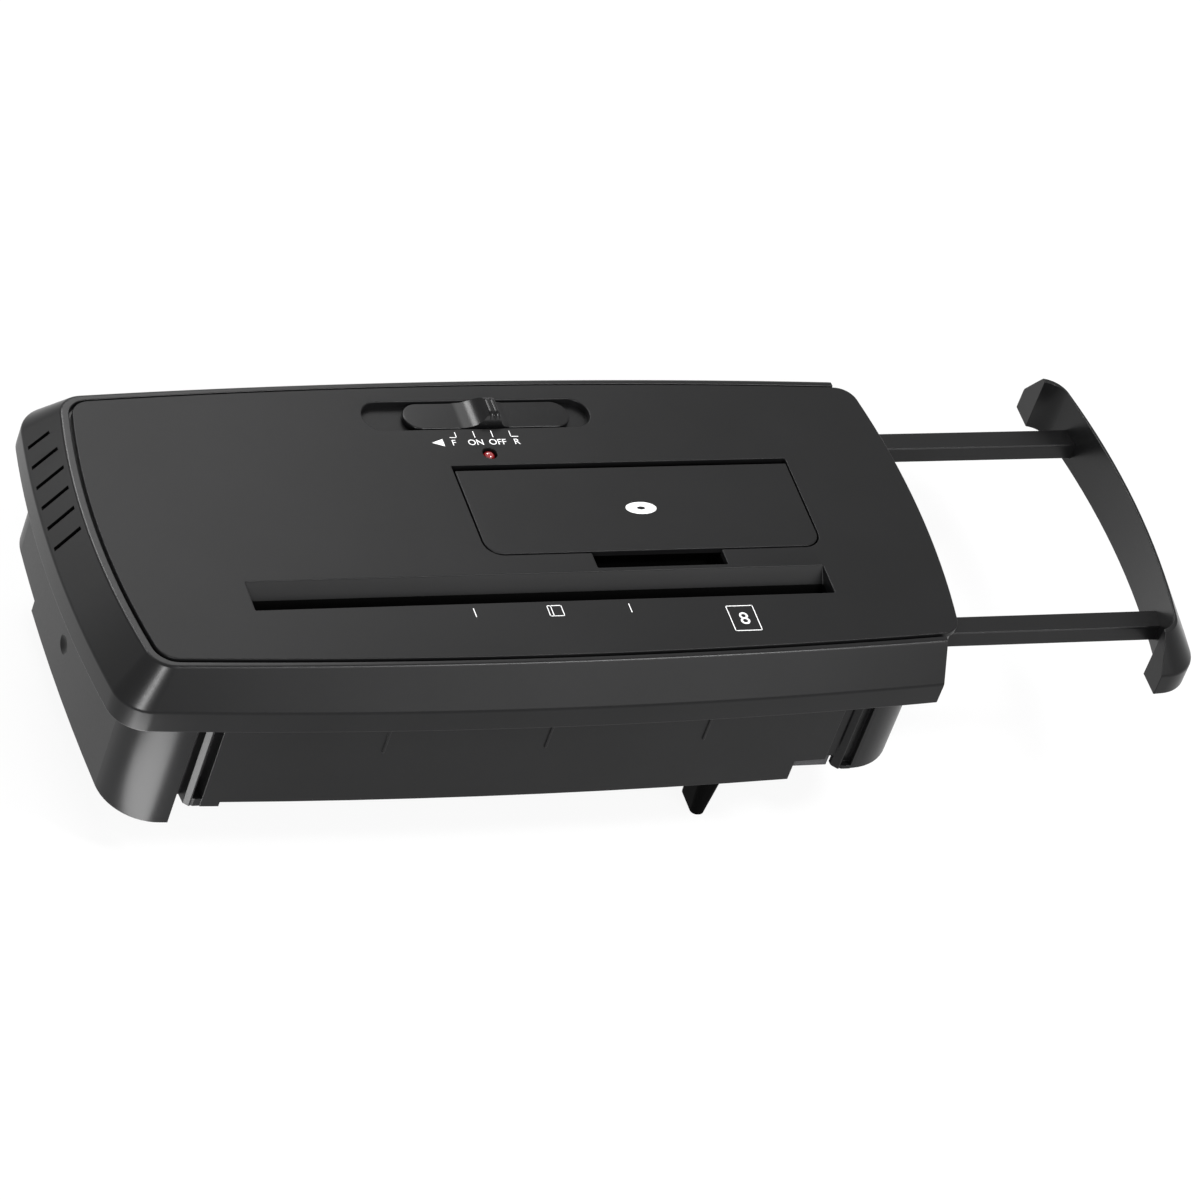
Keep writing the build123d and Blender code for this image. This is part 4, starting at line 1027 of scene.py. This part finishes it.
def ringMark(form, x, y, outer, inner, top):
    high = top + printForm["thick"]
    flat, steps = printForm["discFlat"], printForm["discSteps"]
    big, small = [[(u, y + (v - y) * flat) for u, v in circle2d(x, y, radius, steps)]
                  for radius in (outer, inner)]
    loft(form, [ringAt(big, top), ringAt(big, high), ringAt(small, high), ringAt(small, top)], closed=True)


def makePrint():
    layout = printForm
    top = panelForm["top"]
    form = bmesh.new()
    for text, x, y in layout["words"]:
        wordMark(form, text, x, y, top, layout["capHeight"])
    wordMark(form, *layout["sheets"], top, layout["sheetsHeight"])
    flatMark(form, layout["arrow"], top)
    for points in layout["ticks"]:
        tickLine(form, points, top)
    for left, right, front, back in (layout["sheetsBox"], layout["slotMark"]):
        tickLine(form, [(left, front), (right, front), (right, back), (left, back), (left, front)], top)
    middle = left + layout["slotMarkLine"]
    tickLine(form, [(middle, front), (middle, back)], top)
    marks = pieceFrom(form, "positionMarks", ink)
    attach(marks, bodyOf["top_panel"])
    form = bmesh.new()
    ringMark(form, *layout["disc"], top)
    disc = pieceFrom(form, "discMark", ink)
    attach(disc, bodyOf["cd_lid"])
    print("print laid down:", len(marks.data.polygons) + len(disc.data.polygons), "faces")


makePrint()


# camera at the photograph's angle

cameraView = {
    "place": (-1.04115, -1.64607, 1.78373), "turn": (46.3002, -15.5914, -17.9717),
    "lens": 216.08, "sensor": 36,
}
lens = bpy.data.cameras.new("photoCamera")
lens.lens = cameraView["lens"]
lens.sensor_width = cameraView["sensor"]
camera = bpy.data.objects.new("photoCamera", lens)
scene.collection.objects.link(camera)
turn = Euler([math.radians(angle) for angle in cameraView["turn"]])
camera.matrix_world = Matrix.Translation(cameraView["place"]) @ turn.to_matrix().to_4x4()
scene.camera = camera


# floor and soft studio light

studio = {
    "lamps": [
        ("backPanel", (0.12, 0.85, 0.92), (-0.05, 0, 0.08), (0.5, 0.5), 4.0),
        ("rimPanel", (-0.34, 0.85, 0.98), (-0.15, 0, 0.09), (0.3, 0.35), 9.0),
        ("topStrip", (0.55, -0.47, 1.3), (0, 0, 0.09), (0.3, 0.3), 14.0),
        ("leftPanel", (-1.2, 0.95, 0.3), (-0.15, 0, 0.08), (0.6, 0.4), 1.5),
        ("frontPanel", (0.62, -1.15, 0.86), (0, 0, 0.06), (0.9, 1.0), 8.0),
        ("cornerStrip", (-0.9, -1.4, 0.82), (-0.15, 0, 0.06), (0.36, 0.7), 34.0),
        ("floorCard", (-0.215, -0.111, 0.001), (-0.215, -0.111, 1), (0.06, 0.065), 0.17),
    ],
    "world": 0.15,
    "floorWhite": 0.88, "floorDark": (0.8, 0.8, 0.8), "floorLight": (0.84, 0.84, 0.84), "floorRough": 0.9,
    "floorReach": 6, "floorDrop": 0.5 * mm,
}


def softLamp(name, place, aim, size, watts):
    lamp = bpy.data.lights.new(name, "AREA")
    lamp.shape = "RECTANGLE"
    lamp.size, lamp.size_y = size
    lamp.energy = watts
    holder = bpy.data.objects.new(name, lamp)
    scene.collection.objects.link(holder)
    holder.location = place
    holder.visible_camera = False
    holder.rotation_euler = (Vector(aim) - Vector(place)).to_track_quat("-Z", "Y").to_euler()


for lamp in studio["lamps"]:
    softLamp(*lamp)


def seenDirectly(tree):  # 1 for rays from the camera, and for reflected and refracted rays
    rays = tree.nodes.new("ShaderNodeLightPath")
    total = rays.outputs["Is Camera Ray"]
    for kind in ("Is Glossy Ray", "Is Transmission Ray"):
        either = tree.nodes.new("ShaderNodeMath")
        either.operation = "MAXIMUM"
        tree.links.new(total, either.inputs[0])
        tree.links.new(rays.outputs[kind], either.inputs[1])
        total = either.outputs["Value"]
    return total


world = bpy.data.worlds.new("studioAir")
world.use_nodes = True
scene.world = world
air = world.node_tree
level = air.nodes.new("ShaderNodeMapRange")
level.inputs["To Min"].default_value = studio["world"]
level.inputs["To Max"].default_value = 1.0
air.links.new(seenDirectly(air), level.inputs["Value"])
air.nodes["Background"].inputs["Color"].default_value = (1, 1, 1, 1)
air.links.new(level.outputs["Result"], air.nodes["Background"].inputs["Strength"])

floorForm = bmesh.new()
bmesh.ops.create_grid(floorForm, x_segments=8, y_segments=8, size=studio["floorReach"])
floorFinish, tree, shader, place = newFinish("paleFloor")
tone = shades(tree, noise(tree, place, 3, 2), studio["floorDark"], studio["floorLight"])
tree.links.new(tone, shader.inputs["Base Color"])
shader.inputs["Roughness"].default_value = studio["floorRough"]
white = tree.nodes.new("ShaderNodeEmission")
mixer = tree.nodes.new("ShaderNodeMixShader")
share = tree.nodes.new("ShaderNodeMath")
share.operation = "MULTIPLY"
share.inputs[1].default_value = studio["floorWhite"]
tree.links.new(seenDirectly(tree), share.inputs[0])
tree.links.new(share.outputs["Value"], mixer.inputs["Fac"])
tree.links.new(shader.outputs["BSDF"], mixer.inputs[1])
tree.links.new(white.outputs["Emission"], mixer.inputs[2])
tree.links.new(mixer.outputs["Shader"], tree.nodes["Material Output"].inputs["Surface"])
floor = pieceFrom(floorForm, "floor", floorFinish)
floor.location.z = -studio["floorDrop"]
print("studio ready")
